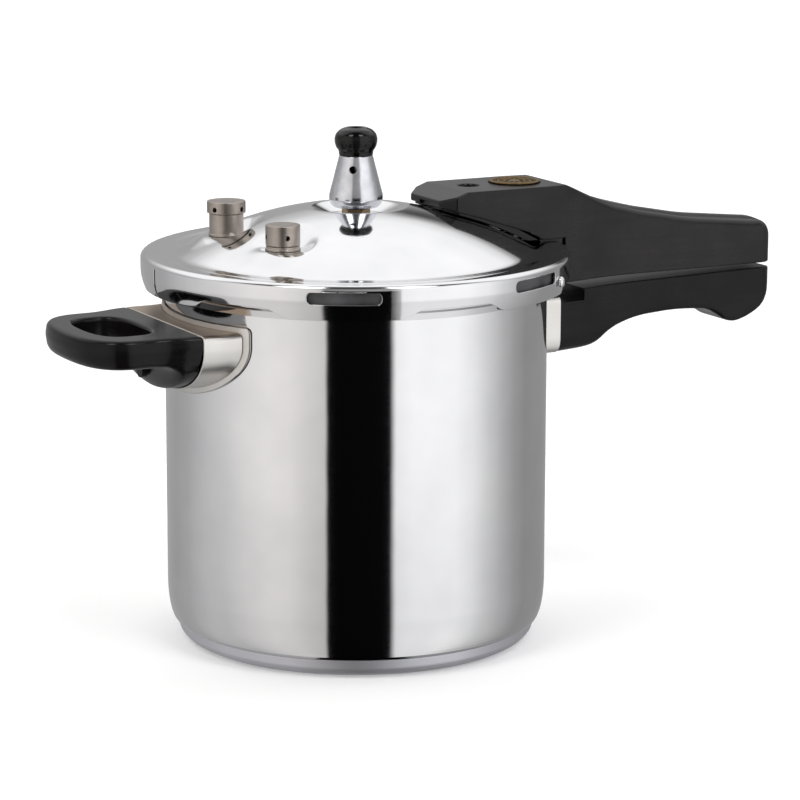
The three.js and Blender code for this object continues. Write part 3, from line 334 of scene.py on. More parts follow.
def add_node(tree, kind, inputs=None, out=0, **settings):
    """One shader node with its settings, given as its chosen output; each input is a value or the
    socket that it is linked from."""
    made = tree.nodes.new("ShaderNode" + kind)
    for key, value in settings.items():
        setattr(made, key, value)
    for key, value in (inputs or {}).items():
        if isinstance(value, bpy.types.NodeSocket):
            tree.links.new(value, made.inputs[key])
        else:
            made.inputs[key].default_value = value
    return made.outputs[out] if made.outputs else made


def new_material(name):
    made = bpy.data.materials.new(name)
    made.use_nodes = True
    made.node_tree.nodes.clear()
    return made, made.node_tree


def finish_material(tree, shader):
    add_node(tree, "OutputMaterial", {"Surface": shader})


BUMP_DEPTH = 0.0002
WAVE_DEPTH = 0.01
SLOW_CHANGE_MM = 22.0
STREAK_TILT = math.radians(35)


def metal(name, light, dark, rough, rough_change, line_mm, line_axis, wave_mm, wave, line, top=None):
    """A worked metal. Polishing or brushing lines repeat every line_mm along line_axis, where R is the
    distance from the pot's axis; a slow wave every wave_mm bends the reflections a little, as pressed
    sheet does, and tints the colour. Faces that look up take the tone top, where one is given: a painted
    reflection of the room above."""
    made, tree = new_material(name)
    place = add_node(tree, "TexCoord", out="Object")
    per_line = 1 / (line_mm * MM)
    if line_axis == "R":
        x, y, z = add_node(tree, "SeparateXYZ", {"Vector": place}).node.outputs
        flat = add_node(tree, "CombineXYZ", {"X": x, "Y": y})
        away = add_node(tree, "VectorMath", {0: flat}, out="Value", operation="LENGTH")
        outward = add_node(tree, "Math", {0: away, 1: per_line}, operation="MULTIPLY")
        upward = add_node(tree, "Math", {0: z, 1: per_line}, operation="MULTIPLY")
        place_lines = add_node(tree, "CombineXYZ", {"X": outward, "Y": upward})
    else:
        stretch = [per_line if axis == line_axis else 4.0 for axis in "XYZ"]
        place_lines = add_node(tree, "Mapping", {"Vector": place, "Scale": stretch})
    lines = add_node(tree, "TexNoise", {"Vector": place_lines, "Scale": 1.0, "Detail": 3.0,
                                        "Roughness": 0.65})
    slow = add_node(tree, "TexNoise", {"Vector": place, "Scale": 1 / (wave_mm * MM), "Detail": 2.0})
    share = add_node(tree, "MapRange", {"Value": slow, "To Min": -0.4, "To Max": 1.2})
    tint = add_node(tree, "Mix", {"Factor": share, 6: linear(dark), 7: linear(light)}, out=2,
                    data_type="RGBA", clamp_factor=True)
    # Painted reflection: faces that look up are tinted towards the tone top.
    if top:
        normal = add_node(tree, "NewGeometry", out="Normal")
        facing = add_node(tree, "SeparateXYZ", {"Vector": normal}, out=2)
        painted_top_reflection_share = add_node(tree, "MapRange", {"Value": facing, "From Min": 0.5})
        tint = add_node(tree, "Mix", {"Factor": painted_top_reflection_share, 6: tint, 7: linear(top)}, out=2, data_type="RGBA")
    gloss = add_node(tree, "MapRange", {"Value": lines, "To Min": rough - rough_change,
                                        "To Max": rough + rough_change})
    wavy = add_node(tree, "Bump", {"Strength": wave, "Distance": WAVE_DEPTH, "Height": slow})
    bump = add_node(tree, "Bump", {"Strength": line, "Distance": BUMP_DEPTH, "Height": lines, "Normal": wavy})
    finish_material(tree, add_node(tree, "BsdfPrincipled", {"Base Color": tint, "Metallic": 1.0,
                                                            "Roughness": gloss, "Normal": bump}))
    return made


def moulded(name, dark, light, rough, rough_change, grain_mm, grain, ior=1.5, specular=0.5, streak_mm=0):
    """A moulded plastic or rubber: a fine grain every grain_mm, slow changes of gloss and tone, and,
    where streak_mm is given, slanting polishing streaks that far apart."""
    made, tree = new_material(name)
    place = add_node(tree, "TexCoord", out="Object")
    fine = add_node(tree, "TexNoise", {"Vector": place, "Scale": 1 / (grain_mm * MM), "Detail": 3.0})
    change = add_node(tree, "TexNoise", {"Vector": place, "Scale": 1 / (SLOW_CHANGE_MM * MM), "Detail": 4.0})
    if streak_mm:
        slant = add_node(tree, "Mapping", {"Vector": place, "Rotation": (0, STREAK_TILT, 0), "Scale": (25,
                                           25, 1 / (streak_mm * MM))})
        streak = add_node(tree, "TexNoise", {"Vector": slant, "Scale": 1.0, "Detail": 3.0})
        change = add_node(tree, "Mix", {"Factor": 0.3, 2: change, 3: streak})
    share = add_node(tree, "MapRange", {"Value": change, "To Min": -0.9, "To Max": 1.9})
    tint = add_node(tree, "Mix", {"Factor": share, 6: linear(dark), 7: linear(light)}, out=2,
                    data_type="RGBA", clamp_factor=True)
    gloss = add_node(tree, "MapRange", {"Value": change, "To Min": rough - rough_change,
                                        "To Max": rough + rough_change})
    bump = add_node(tree, "Bump", {"Strength": grain, "Distance": BUMP_DEPTH, "Height": fine})
    finish_material(tree, add_node(tree, "BsdfPrincipled", {
        "Base Color": tint, "Roughness": gloss, "IOR": ior, "Specular IOR Level": specular, "Normal": bump}))
    return made


# Metals: name, light and dark tone, roughness and its change, spacing of the lines in mm and their
# axis, spacing of the wave in mm, depth of the wave and of the lines, painted reflection tone of upward
# faces.
# 18/10 stainless steel, buffed to a mirror round the pot: sharp reflections, faint rings.
mirror_steel = metal("buffed stainless steel", "#dededf", "#d3d3d5", 0.07, 0.03, 0.8, "R", 30, 0.006, 0.02)
# Stainless steel of the weight, turned and polished: clear reflections with fine turning rings.
polished_turning = metal("turned and polished stainless steel", "#dddee2", "#c3c4ca", 0.17, 0.05, 0.5, "R",
                         6, 0.01, 0.06)
# Brushed stainless on the sleeves, brushed along the handle: soft, streaked reflections.
brushed_steel = metal("brushed stainless steel", "#dfddda", "#cfccc8", 0.33, 0.05, 0.6, "Z", 25, 0.01, 0.1)
# The helper's sleeve carries a faint brown reflection, painted on the faces that look up.
steel_with_painted_top_reflection = metal("brushed stainless steel with painted reflection on top", "#dfddda", "#cfccc8", 0.33, 0.05, 0.6, "Z", 25,
                     0.01, 0.1, "#b09c88")
# Ferritic steel of the base cap, spun: duller and greyer.
spun_steel = metal("spun stainless steel", "#dddde3", "#cfcfd6", 0.5, 0.05, 0.5, "R", 25, 0.01, 0.2)
# Stainless steel of the valves with a satin turned finish: warm grey, no clear reflections.
satin_steel = metal("satin stainless steel", "#b3aaa2", "#989088", 0.33, 0.08, 0.35, "R", 8, 0.01, 0.35)
# Zinc-plated steel of the fasteners and springs: a plain, slightly dull grey.
plain_steel = metal("zinc-plated steel", "#b7b6b4", "#a3a2a0", 0.35, 0.08, 0.5, "Z", 10, 0.01, 0.2)
# Rolled aluminium of the base's core: pale and matt, with rolling lines.
aluminium = metal("rolled aluminium", "#b9bbbd", "#a9abad", 0.45, 0.1, 0.8, "X", 15, 0.01, 0.2)
# Machined brass of the nuts and the float's bush, tarnished brown by steam.
brass = metal("tarnished machined brass", "#94805f", "#6e5c47", 0.34, 0.08, 0.4, "R", 8, 0.01, 0.2)
# Steel of the screw that holds the helper handle, coloured near black as painted shade in the handle's
# cavity: dark with a dull shine.
shade_darkened_screw_steel = metal("steel darkened as painted shade", "#1b1b1c", "#101011", 0.35, 0.06, 0.5, "Z", 10, 0.01, 0.2)

# Mouldings: name, dark and light tone, roughness and its change, spacing of the grain in mm and its
# depth, IOR, specular level, spacing of the streaks in mm.
# Black phenolic of the handles, moulded and lightly buffed: semi-gloss with a fine ripple.
phenolic = moulded("black phenolic", "#0a090a", "#1f1c1c", 0.25, 0.1, 1.4, 0.05, 1.5, 0.26, 2.2)
# The lower handle and the helper handle are the same material, coloured darker as painted shade, with lower
# roughness and specular level.
shade_darkened_phenolic = moulded("black phenolic darkened as painted shade", "#060506", "#151314", 0.2, 0.08, 1.4, 0.05, 1.5, 0.17, 2.2)
# The knob's phenolic has a high polish: black with small sharp highlights.
gloss_phenolic = moulded("polished black phenolic", "#030303", "#050505", 0.07, 0.02, 2.5, 0.004, 1.5, 0.3)
# Moulded silicone rubber: dull and slightly dusty.
silicone = moulded("grey silicone rubber", "#2c2c2e", "#626264", 0.4, 0.08, 0.6, 0.1, 1.41)
# Red polyamide of the float, moulded: an even satin red.
red_plastic = moulded("red polyamide", "#a31d18", "#b8281f", 0.38, 0.06, 0.8, 0.05, 1.53)


# ---- Pot and base ----
def drawn_wall(inset):
    """The wall near the base: it draws in by 5 mm along a circular arc over 21 mm of height."""
    share = np.linspace(0, 1, 14)
    drawn = 5 * (1 - np.sqrt(1 - 0.98 * (1 - share) ** 2))
    return np.stack([POT_RADIUS - inset - drawn, BASE_HEIGHT + 0.3 + 21 * share], 1)


def pot_piece():
    flange = POT_RADIUS + 4.2
    lug_z = RIM_Z - 2.2
    outer = drawn_wall(0)
    inner = drawn_wall(POT_WALL)[::-1]
    outline = np.array([
        [0, FLOOR_Z], [BASE_FOOT, FLOOR_Z], [91.2, FLOOR_Z + 0.8], [94.4, BASE_HEIGHT], *outer,
        [POT_RADIUS, lug_z - 5], [POT_RADIUS + 0.8, lug_z - 1.6], [POT_RADIUS + 2.4, lug_z],
        [flange, lug_z], [flange, RIM_Z], [POT_RADIUS - POT_WALL + 1, RIM_Z],
        [POT_RADIUS - POT_WALL, RIM_Z - 1], *inner, [BASE_FOOT, FLOOR_Z + POT_WALL],
        [0, FLOOR_Z + POT_WALL],
    ])
    return turned(outline, 0.6, 240, steps=3)


def slab_sector(inner, outer, turn, width, low, high, edge=0.5, columns=16):
    """A flat sector of a ring with rounded long edges: a rounded rectangle of radius and height,
    carried through an angle, and closed at both ends."""
    section = rounded([[inner, low], [outer, low], [outer, high], [inner, high]], edge, 4)
    angle = np.radians(turn + np.linspace(-width / 2, width / 2, columns))[:, None]
    rings = np.stack([section[:, 0] * np.cos(angle), section[:, 0] * np.sin(angle),
                      section[:, 1] + 0 * angle], -1)
    return capped(rings)


turns = np.arange(6) * LUG_STEP
build("pot_wall", [pot_piece()], "pot", "pot_shell", mirror_steel)
pot_lugs = [slab_sector(POT_RADIUS + 1, POT_RADIUS + 9.3, a, 27.5, RIM_Z - 2.2, RIM_Z) for a in turns]
build("pot_lugs", pot_lugs, "pot", "pot_shell", mirror_steel)

cap_outer = np.array([[0, 0], [BASE_FOOT, 0], [92, 2], [94.6, 5], [96, BASE_HEIGHT]])
cap_inner = np.array([[95, BASE_HEIGHT], [93.6, 6], [91, 3], [BASE_FOOT - 1, 1], [0, 1]])
cap_radii = [0, 3, 5, 5, 0.3, 0.3, 4, 4, 1, 0]
build("base_cap_spun", [turned(np.concatenate([cap_outer, cap_inner]), cap_radii, 240)], "pot",
      "base_cap", spun_steel)


# ---- Lid ----
def lid_columns():
    """Angles round the lid: close together at the valve pads and the skirt's windows."""
    window = [w + np.linspace(-WINDOW_HALF - 2, WINDOW_HALF + 2, 37) for w in WINDOW_TURNS]
    pads = [a + np.linspace(-15, 15, 41) for a in VALVE_TURNS]
    edges = [i * LUG_STEP + 30 + side * np.linspace(NOTCH_HALF, NOTCH_HALF + NOTCH_FILLET, 8)
             for i in range(-3, 3) for side in (-1, 1)]
    slit = [np.array([SLIT_TURN - SLIT_HALF, SLIT_TURN + SLIT_HALF])]
    fixed = np.unique(np.round(np.concatenate(window + slit), 4))
    extra = np.round(np.concatenate([*pads, *edges, np.arange(-180, 180, 2.25)]), 4)
    extra = extra[np.abs(extra[:, None] - fixed[None]).min(1) > 0.3]
    inside = np.any([np.abs(extra - w) < WINDOW_HALF + 2 for w in WINDOW_TURNS], 0)
    extra = np.sort(extra[~inside])
    extra = extra[np.concatenate([[True], np.diff(extra) > 0.3])]
    return np.sort(np.concatenate([fixed, extra]))


def hem_z(turn):
    """Height of the skirt's lower edge: raised between the lugs, with a smooth step at each side."""
    away = np.abs((turn - 30) % LUG_STEP)
    away = np.minimum(away, LUG_STEP - away)
    return SKIRT_Z + NOTCH_RISE * (1 - smooth(NOTCH_HALF, NOTCH_HALF + NOTCH_FILLET, away))


def skirt_radius(z):
    """The skirt is upright above its bend and draws in below it, faster towards its edge."""
    t = np.clip((SKIRT_Z + SKIRT_BEND - z) / SKIRT_BEND, 0, 1.2)
    return LID_RADIUS - SKIRT_TAPER * t**1.8


def on_skirt(turn, z):
    r = skirt_radius(z)
    a = np.radians(turn)
    return np.stack([r * np.cos(a), r * np.sin(a), z + 0 * a], -1)


def lid_top_rows():
    """The lid's profile from its centre hole to the top of the skirt."""
    r = np.array([29, 33, 38, 43, 48, 53, 58, 63, 68, 73, 78, 83])
    start = [[5.3, CRATER_Z], [CRATER_FLOOR, CRATER_Z], [CRATER_RADIUS - 1, dome_z(CRATER_RADIUS) - 0.5],
             [CRATER_RADIUS + 2, dome_z(CRATER_RADIUS + 2)]]
    a = np.linspace(0, np.pi / 2, 12)
    turn_over = np.stack([LID_RADIUS - SHOULDER_ROUND * (1 - np.sin(a)),
                          LID_TOP - SHOULDER_ROUND * (1 - np.cos(a))], 1)
    end = [[87, dome_z(87)], [DOME_FOOT + 1.2, LID_TOP - 1.1], [DOME_FOOT + 9.5, LID_TOP + 0.05], *turn_over,
           [LID_RADIUS, BAND_HIGH]]
    points = np.array([*start, *np.stack([r, dome_z(r)], 1), *end])
    radii = np.array([0, 5, 2.5, 2.5, *[400] * len(r), 60, 400, 60, *[0] * len(turn_over), 0])
    curve = rounded(points, radii, 9, closed=False)
    length = length_along(curve)
    radii = [0, 14, 30, 55, 82, 88, 104, 110.3]
    counts = [5, 22, 8, 31, 3, 21, 4, 12]
    marks = [0, *np.interp(radii[1:], curve[:, 0], length), length[-1]]
    stops = np.unique(np.concatenate([np.linspace(a, b, n) for a, b, n in zip(marks, marks[1:], counts)]))
    return np.stack([np.interp(stops, length, curve[:, i]) for i in (0, 1)], 1)


def pressed_pads(x, y, z):
    """Level pads pressed into the dome: inside a pad's radius the height is the pad's own, and past
    it the height returns to the dome along a smooth step as long as the pad's blend."""
    pads = [(turn, VALVE_RING, VALVE_PAD - PAD_PRESS, 11) for turn in VALVE_TURNS]
    for turn, distance, height, blend in [*pads, (0.0, FLOAT_DISTANCE, FLOAT_PAD, 5.5)]:
        a = math.radians(turn)
        away = np.hypot(x - distance * math.cos(a), y - distance * math.sin(a))
        z = z + (height - z) * (1 - smooth(PAD_RADIUS - 0.2, PAD_RADIUS + blend, away))
    return z


def window_patch(turn):
    """The skirt round one window: rings of points from the window's rounded outline out to a
    rectangle of grid lines, with each corner of one joined to the middle of the other's corner."""
    across, up = 36, 8
    to_mm = math.radians(1) * LID_RADIUS
    mid_z = (WINDOW_LOW + WINDOW_HIGH) / 2
    a, b, r = WINDOW_HALF * to_mm, (WINDOW_HIGH - WINDOW_LOW) / 2, 2.5
    corner = np.linspace(math.pi / 4, math.pi / 2, 12)

    def quarter(cx, cz, start):
        angle = corner + start
        return np.stack([cx + r * np.cos(angle), cz + r * np.sin(angle)], 1)

    half_top = quarter(a - r, b - r, 0)
    top = np.concatenate([half_top, (half_top * [-1, 1])[::-1]])
    right_up = quarter(a - r, b - r, -math.pi / 4)[::-1]
    right = np.concatenate([right_up, (right_up * [1, -1])[::-1]])
    top = resampled(top[::-1], steps=across)
    right = resampled(right, steps=up)
    hole = np.concatenate([top[:-1], right[:-1], -top[:-1], -right[:-1]])
    hole[:, 0] /= to_mm
    hole[:, 1] += mid_z
    reach = WINDOW_HALF + 2
    x = np.linspace(-reach, reach, across + 1)
    z = np.linspace(BAND_HIGH, BAND_LOW, up + 1)
    frame_top = np.stack([x, 0 * x + BAND_HIGH], 1)
    frame_right = np.stack([0 * z + reach, z], 1)
    frame_low = np.stack([-x, 0 * x + BAND_LOW], 1)
    frame_left = np.stack([0 * z - reach, z[::-1]], 1)
    outer = np.concatenate([frame_top[:-1], frame_right[:-1], frame_low[:-1], frame_left[:-1]])
    share = np.array([0, 0.35, 0.7, 1.0])[:, None, None]
    rings = hole + (outer - hole) * share
    return on_skirt(rings[..., 0] + turn, rings[..., 1]), grid_faces(4, len(hole))


def lid_blocks():
    columns = lid_columns()
    rows = lid_top_rows()
    a = np.radians(columns)[None]
    x, y = rows[:, :1] * np.cos(a), rows[:, :1] * np.sin(a)
    top = np.stack([x, y, pressed_pads(x, y, rows[:, 1:] + 0 * a)], -1)
    band = np.linspace(BAND_HIGH, BAND_LOW, 9)[:, None]
    hem = hem_z(columns)[None]
    low = BAND_LOW + (hem - BAND_LOW) * np.array([0, 0.3, 0.65, 1])[:, None]
    band_points = on_skirt(columns[None] + 0 * band, band + 0 * columns[None])
    low_points = on_skirt(columns[None] + 0 * low, low)
    following = np.roll(columns, -1)
    middle = np.where(following > columns, (columns + following) / 2, columns)
    in_window = np.any([np.abs(middle - w) < WINDOW_HALF + 2 for w in WINDOW_TURNS], 0)
    in_slit = np.abs(middle - SLIT_TURN) < SLIT_HALF
    keep_band = np.broadcast_to(~(in_window | in_slit), (8, len(columns)))
    keep_low = np.broadcast_to(~in_slit, (3, len(columns)))
    blocks = [
        (top, grid_faces(len(rows), len(columns))),
        (band_points, grid_faces(9, len(columns), keep=keep_band)),
        (low_points, grid_faces(4, len(columns), keep=keep_low)),
    ]
    return blocks + [window_patch(turn) for turn in WINDOW_TURNS]


build("lid_pressing", lid_blocks(), "lid", "lid_shell", mirror_steel, 50,
      solidify=LID_WALL, bevel=0.28)
lid_lug_outer = LID_RADIUS - SKIRT_TAPER - 0.9
lid_lugs = [slab_sector(105.8, lid_lug_outer, a, 29.4, SKIRT_Z, SKIRT_Z + 2.2) for a in turns]
build("lid_lugs", lid_lugs, "lid", "lid_shell", mirror_steel)

gasket_outer = LID_RADIUS - LID_WALL - SKIRT_TAPER / 2 - 0.3
gasket = [[gasket_outer - 9, 194.8], [gasket_outer, 194.8], [gasket_outer, 204.8], [gasket_outer - 9, 204.8],
          [gasket_outer - 9, 202.6], [gasket_outer - 3.4, 201.8], [gasket_outer - 3.4, 197.8],
          [gasket_outer - 9, 197]]
build("gasket_ring", [turned(gasket, 0.9, 160)], "lid", "lid_gasket", silicone)

rivet = [[0, -2.2], [1.5, -2.2], [1.5, 0.1], [3, 0.1], [2.8, 1.4], [1.7, 2.3], [0, 2.6]]
RIVET_TURN = -49.2
rivet_origin = [LID_RADIUS * math.cos(math.radians(RIVET_TURN)),
                LID_RADIUS * math.sin(math.radians(RIVET_TURN)), 197.3]
build("rivet_head", [turned_about(rivet, RIVET_TURN, rivet_origin, 0.6)], "lid", "skirt_rivet",
      mirror_steel)

# ---- Vent and weight ----
UNDER_LID = CRATER_Z - LID_WALL
VENT_TOP = CRATER_Z + 15.8
hex_low = UNDER_LID - 4.8
vent = [[1.3, hex_low - 3], [4.6, hex_low - 3], [4.6, hex_low], [8, hex_low], [8, hex_low + 3],
        [5, hex_low + 3], [5, CRATER_Z + 3.7], [3, CRATER_Z + 4.1], [3, VENT_TOP - 1.5], [1.8, VENT_TOP],
        [1.3, VENT_TOP]]
build("vent_tube", [turned(vent, 0.25, 48)], "lid", "vent_pipe", plain_steel)

weight_low = CRATER_Z + 4.4
weight_high = weight_low + 27
weight = [[4.3, weight_high - 3], [4.3, weight_low], [12.05, weight_low], [13.6, weight_low + 1.8],
          [14.35, weight_low + 5.4], [8.8, weight_high], [2, weight_high], [2, weight_high + 5.4],
          [0, weight_high + 5.4], [0, weight_high - 3]]
weight_radii = [0.3, 0.6, 1.2, 2, 8, 0.5, 0.2, 0.3, 0, 0]
weight_hole = turned_about([[0, 0], [2, 0], [2, 11.2], [3.2, 13.6], [3.2, 18], [0, 18]], -126,
                           [0, 0, weight_low + 27 * 0.76], 0.3, 32)
build("weight_cone", [turned(weight, weight_radii, 128, steps=8)], "weight", "weight_body",
      polished_turning, cut=[weight_hole])
needle_tip = VENT_TOP + 0.3
needle = [[0, needle_tip], [3.6, needle_tip + 1.4], [4, needle_tip + 3.2], [1.6, needle_tip + 4],
          [1.6, weight_high - 3.3], [0, weight_high - 3.3]]
build("needle_point", [turned(needle, 0.3, 40)], "weight", "weight_needle", plain_steel)

knob_low = weight_high + 0.3
knob_high = knob_low + 14.4
belt = knob_low + 7.6
knob = [[0, knob_low + 6], [2.3, knob_low + 6], [2.3, knob_low], [9, knob_low], [9, knob_low + 2],
        [10.6, belt - 3.4], [11.3, belt - 0.45], [11.1, belt], [11.35, belt + 0.45], [10.8, belt + 3.3],
        [8.4, knob_high - 1.1], [5.4, knob_high], [4.2, knob_high - 0.2], [3.2, knob_high - 1.4],
        [0, knob_high - 1.6]]
knob_radii = [0, 0.2, 0.3, 0.5, 2.5, 6, 0.5, 0.3, 0.5, 6, 5, 3, 1.5, 2, 0]
build("knob_ball", [turned(knob, knob_radii, 128, steps=8)], "weight", "weight_knob",
      gloss_phenolic)


def hex_nut(flats, low, high, bore, centre=(0, 0)):
    """A hexagon nut: its radius follows a hexagon round its side, and its corners are turned down
    where that hexagon reaches past a cone at either end."""
    turn = np.linspace(0, 2 * np.pi, 96, endpoint=False)
    fold = (turn + np.pi / 6) % (np.pi / 3) - np.pi / 6
    side = flats / 2 / np.cos(fold)
    ends = np.minimum(side, flats / 2 * 1.03)
    z = [low, low, low + 0.6, high - 0.6, high, high, low]
    radius = [bore + 0 * turn, ends, side, side, ends, bore + 0 * turn, bore + 0 * turn]
    r, h = np.stack(radius), np.array(z)[:, None] + 0 * turn
    points = np.stack([centre[0] + r * np.cos(turn), centre[1] + r * np.sin(turn), h], -1)
    return points, grid_faces(len(z), len(turn))


build("vent_hex", [hex_nut(13, CRATER_Z + 0.3, CRATER_Z + 3.4, 5.3)], "lid", "vent_nut", brass,
      sharp=25)

# ---- Safety valves ----
VALVES = {
    "a": dict(turn=160.5, neck=10.1, cap=6.2, radius=10.15, hole_turn=28),
    "b": dict(turn=210.0, neck=0.8, cap=10.4, radius=8.9, hole_turn=-10),
}
for letter, v in VALVES.items():
    angle = math.radians(v["turn"])
    centre = (VALVE_RING * math.cos(angle), VALVE_RING * math.sin(angle))
    neck_radius = min(9, v["radius"] - 0.2)
    neck_top = VALVE_PAD + 0.3 + v["neck"]
    cap_low = neck_top + 0.3
    cap_high = cap_low + v["cap"]
    roof = cap_high - 1.6
    seat = VALVE_PAD + 1.4
    boss_top = min(max(neck_top + 2.6, seat + 5), roof - 1)
    under = VALVE_PAD - LID_WALL - 6
    foot = VALVE_PAD - PAD_PRESS + 0.1
    body = [[1.2, under], [4, under], [4, foot], [neck_radius + 0.4, foot],
            [neck_radius + 0.4, foot + 1], [neck_radius, foot + 1.3], [neck_radius, neck_top],
            [5.5, neck_top], [5.5, boss_top], [4.2, boss_top], [4.2, seat], [1.2, seat - 1]]
    build(f"valve_{letter}_neck", [turned(body, 0.25, 72, centre)], "lid", f"valve_{letter}_body",
          satin_steel)
    cap = [[5.8, cap_low], [v["radius"], cap_low], [v["radius"], cap_high], [0, cap_high], [0, roof],
           [7, roof], [7, cap_low + 1.4], [5.8, cap_low + 1.4]]
    hole_z = (cap_low + cap_high) / 2 - 0.8
    holes = [turned_about([[0, 5], [1.35, 5], [1.35, v["radius"] + 2], [0, v["radius"] + 2]],
                          v["hole_turn"] + 90 * i, [*centre, hole_z], 0, 24) for i in range(4)]
    build(f"valve_{letter}_hat", [turned(cap, [0.2, 0.35, 0.55, 0, 0, 0.2, 0.2, 0.2], 96, centre)], "lid",
          f"valve_{letter}_cap", satin_steel, cut=holes)


def wound_wire(low, high, wire=0.45, turns=3):
    """A spring inside the box from low to high: the wire's middle goes round at an even distance and
    climbs evenly with its turn, and a circle of the wire's radius stands round it."""
    middle = (low + high) / 2
    turn = np.linspace(0, 2 * np.pi * turns, 48 * turns + 1)[:, None]
    section = np.linspace(0, 2 * np.pi, 10, endpoint=False)[None]
    reach = (high[0] - low[0]) / 2 - wire + wire * np.cos(section)
    climb = (high[2] - low[2] - 2 * wire) * turn / turn[-1]
    points = np.stack([middle[0] + reach * np.cos(turn), middle[1] + reach * np.sin(turn),
                       low[2] + wire + climb + wire * np.sin(section)], -1)
    return capped(points)


for letter in "ab":
    low, high = (np.array(corner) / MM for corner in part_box(f"valve_{letter}_spring"))
    coil = build(f"valve_{letter}_coil", [wound_wire(low, high)], "lid", f"valve_{letter}_spring",
                 plain_steel)
    seat = np.array([(low[0] + high[0]) / 2, (low[1] + high[1]) / 2, high[2]]) * MM
    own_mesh(coil)

# ---- Long handle ----
plan = rounded([[HANDLE_FRONT, 16.5], [HANDLE_FRONT + 7, HEAD_HALF], [LID_RADIUS, HEAD_HALF]], [0, 2, 0], 9,
               closed=False)


def half_width(x):
    """Half the handle's width at x: the head's plan, a smooth step down to the grip, and the tip's
    corners rounded as quarter circles."""
    return follow(x, plan) - 9 * smooth(98, 160, x) - end_round(x, HANDLE_TIP, 8)


def near_end(end, radius, side=-1):
    """Stations that close up towards an end, for a round of that radius on that side of it."""
    return end + side * radius * (1 - np.sin(np.linspace(0, np.pi / 2, 12)))


def upper_handle():
    front = HANDLE_FRONT
    rim = LID_RADIUS
    top = rounded(np.array([
        [front, dome_z(front) + 4.6], [front + 13.5, TOP_Z], [rim + 1.5, TOP_Z], [rim + 10, TOP_Z - 3.6],
        [rim + 20, TOP_Z - 7.8], [rim + 36, TOP_Z - 12.8], [rim + 56, TOP_Z - 17.9], [rim + 88, TOP_Z - 24],
        [rim + 115, TOP_Z - 26.8], [HANDLE_TIP, TOP_Z - 29.4]]),
        [0, 1.5, 5, 200, 200, 200, 200, 200, 200, 0], 9, closed=False)
    bottom = rounded(np.array([
        [front, dome_z(front) + 1], [rim - 52, dome_z(rim - 52) + 1], [rim - 21.5, LID_TOP + 5.4],
        [rim - 13, LID_TOP + 0.6], [rim + 1.6, LID_TOP + 0.6], [rim + 2, SPLIT_Z], [HANDLE_TIP, SPLIT_Z]]),
        [0, 20, 3, 1, 0.1, 0.1, 0], 5, closed=False)
    x = along_x(front, plan[:, 0], top[:, 0], bottom[:, 0],
                closing=[near_end(HANDLE_TIP, 8), near_end(HANDLE_TIP, 10), near_end(front, 1, 1)])
    ends = end_round(x, front, 1.0)
    high = follow(x, top) - end_round(x, HANDLE_TIP, 10) - ends
    low = follow(x, bottom) + end_round(x, HANDLE_TIP, 2) + ends
    crown = 2.6 * smooth(rim + 6, rim + 60, x) * (1 - smooth(HANDLE_TIP - 12, HANDLE_TIP, x))
    half = half_width(x) - ends
    high = high - crown
    corner_high = np.minimum(1.1 + 3.4 * smooth(rim, rim + 40, x), 0.45 * (high - low))
    corner_low = np.minimum(1.0, 0.45 * (high - low))
    return capped(box_rings(x, half, low, high, corner_low, corner_high, crown))


def lid_height(x, y):
    """Height of the lid's skin under a point: the dome, or the flat shoulder past the dome's foot."""
    return np.maximum(dome_z(np.hypot(x, y)), LID_TOP)


def handle_rib():
    """The thin rib inside the handle's edge: a flat wall carried round the handle's outline, from
    inside the handle down to just above the dome, whose slope its lower edge follows."""
    inset, wall = 2.6, 1.8
    path = rounded(np.array([[113, -23.5 + inset], [50, -23.5 + inset], [HANDLE_FRONT + inset, -15],
                             [HANDLE_FRONT + inset, 15], [50, 23.5 - inset], [113, 23.5 - inset]]),
                   [0, 4, 4, 4, 4, 0], 6, closed=False)
    path = resampled(path, 2.0)
    along = np.gradient(path, axis=0)
    across = np.stack([-along[:, 1], along[:, 0]], 1) / np.linalg.norm(along, axis=1)[:, None]
    side = np.array([-0.5, -0.5, -0.3, 0.3, 0.5, 0.5]) * wall
    place = path[:, None] + across[:, None] * side[None, :, None]
    low = lid_height(path[:, 0], path[:, 1])[:, None] + np.array([9, 0.9, 0.6, 0.6, 0.9, 9])[None]
    high = np.minimum(dome_z(path[:, 0])[:, None] + 3, TOP_Z - 4)
    z = np.where(np.array([True, False, False, False, False, True])[None], high, low)
    return capped(np.concatenate([place, z[..., None]], -1))


def block_cutter(low, high):
    x = np.array([low[0], high[0]])
    return capped(box_rings(x, (high[1] - low[1]) / 2, low[2], high[2], 0.4, 0.4))


sight = [[0, FLOAT_PAD - 9], [12.5, FLOAT_PAD - 9], [12.5, FLOAT_PAD + 1.5], [9.5, FLOAT_PAD + 1.5],
         [9.5, TOP_Z - 5], [5.7, TOP_Z - 5], [5.7, TOP_Z - 0.7], [6.4, TOP_Z + 0.1], [6.4, TOP_Z + 3],
         [0, TOP_Z + 3]]
recess = [[0, TOP_Z - 1.2], [14.05, TOP_Z - 1.2], [14.05, TOP_Z - 0.4], [14.5, TOP_Z + 0.1],
          [14.5, TOP_Z + 3], [0, TOP_Z + 3]]
slot_z = dome_z(HANDLE_FRONT) + 3
handle_cuts = [
    turned(sight, [0, 0, 0, 0, 0, 0, 1.2, 0, 0, 0], 64, (FLOAT_DISTANCE, 0), 6),
    turned(recess, [0, 0, 0.6, 0, 0, 0], 64, (STUD_X, 0), 6),
    block_cutter([HANDLE_FRONT - 4, -6, slot_z - 6], [HANDLE_FRONT + 3, 6, slot_z]),
]
build("upper_grip", [upper_handle()], "lid", "upper_handle", phenolic, 30, cut=handle_cuts)


build("upper_grip_rib", [handle_rib()], "lid", "upper_handle", phenolic, 30)


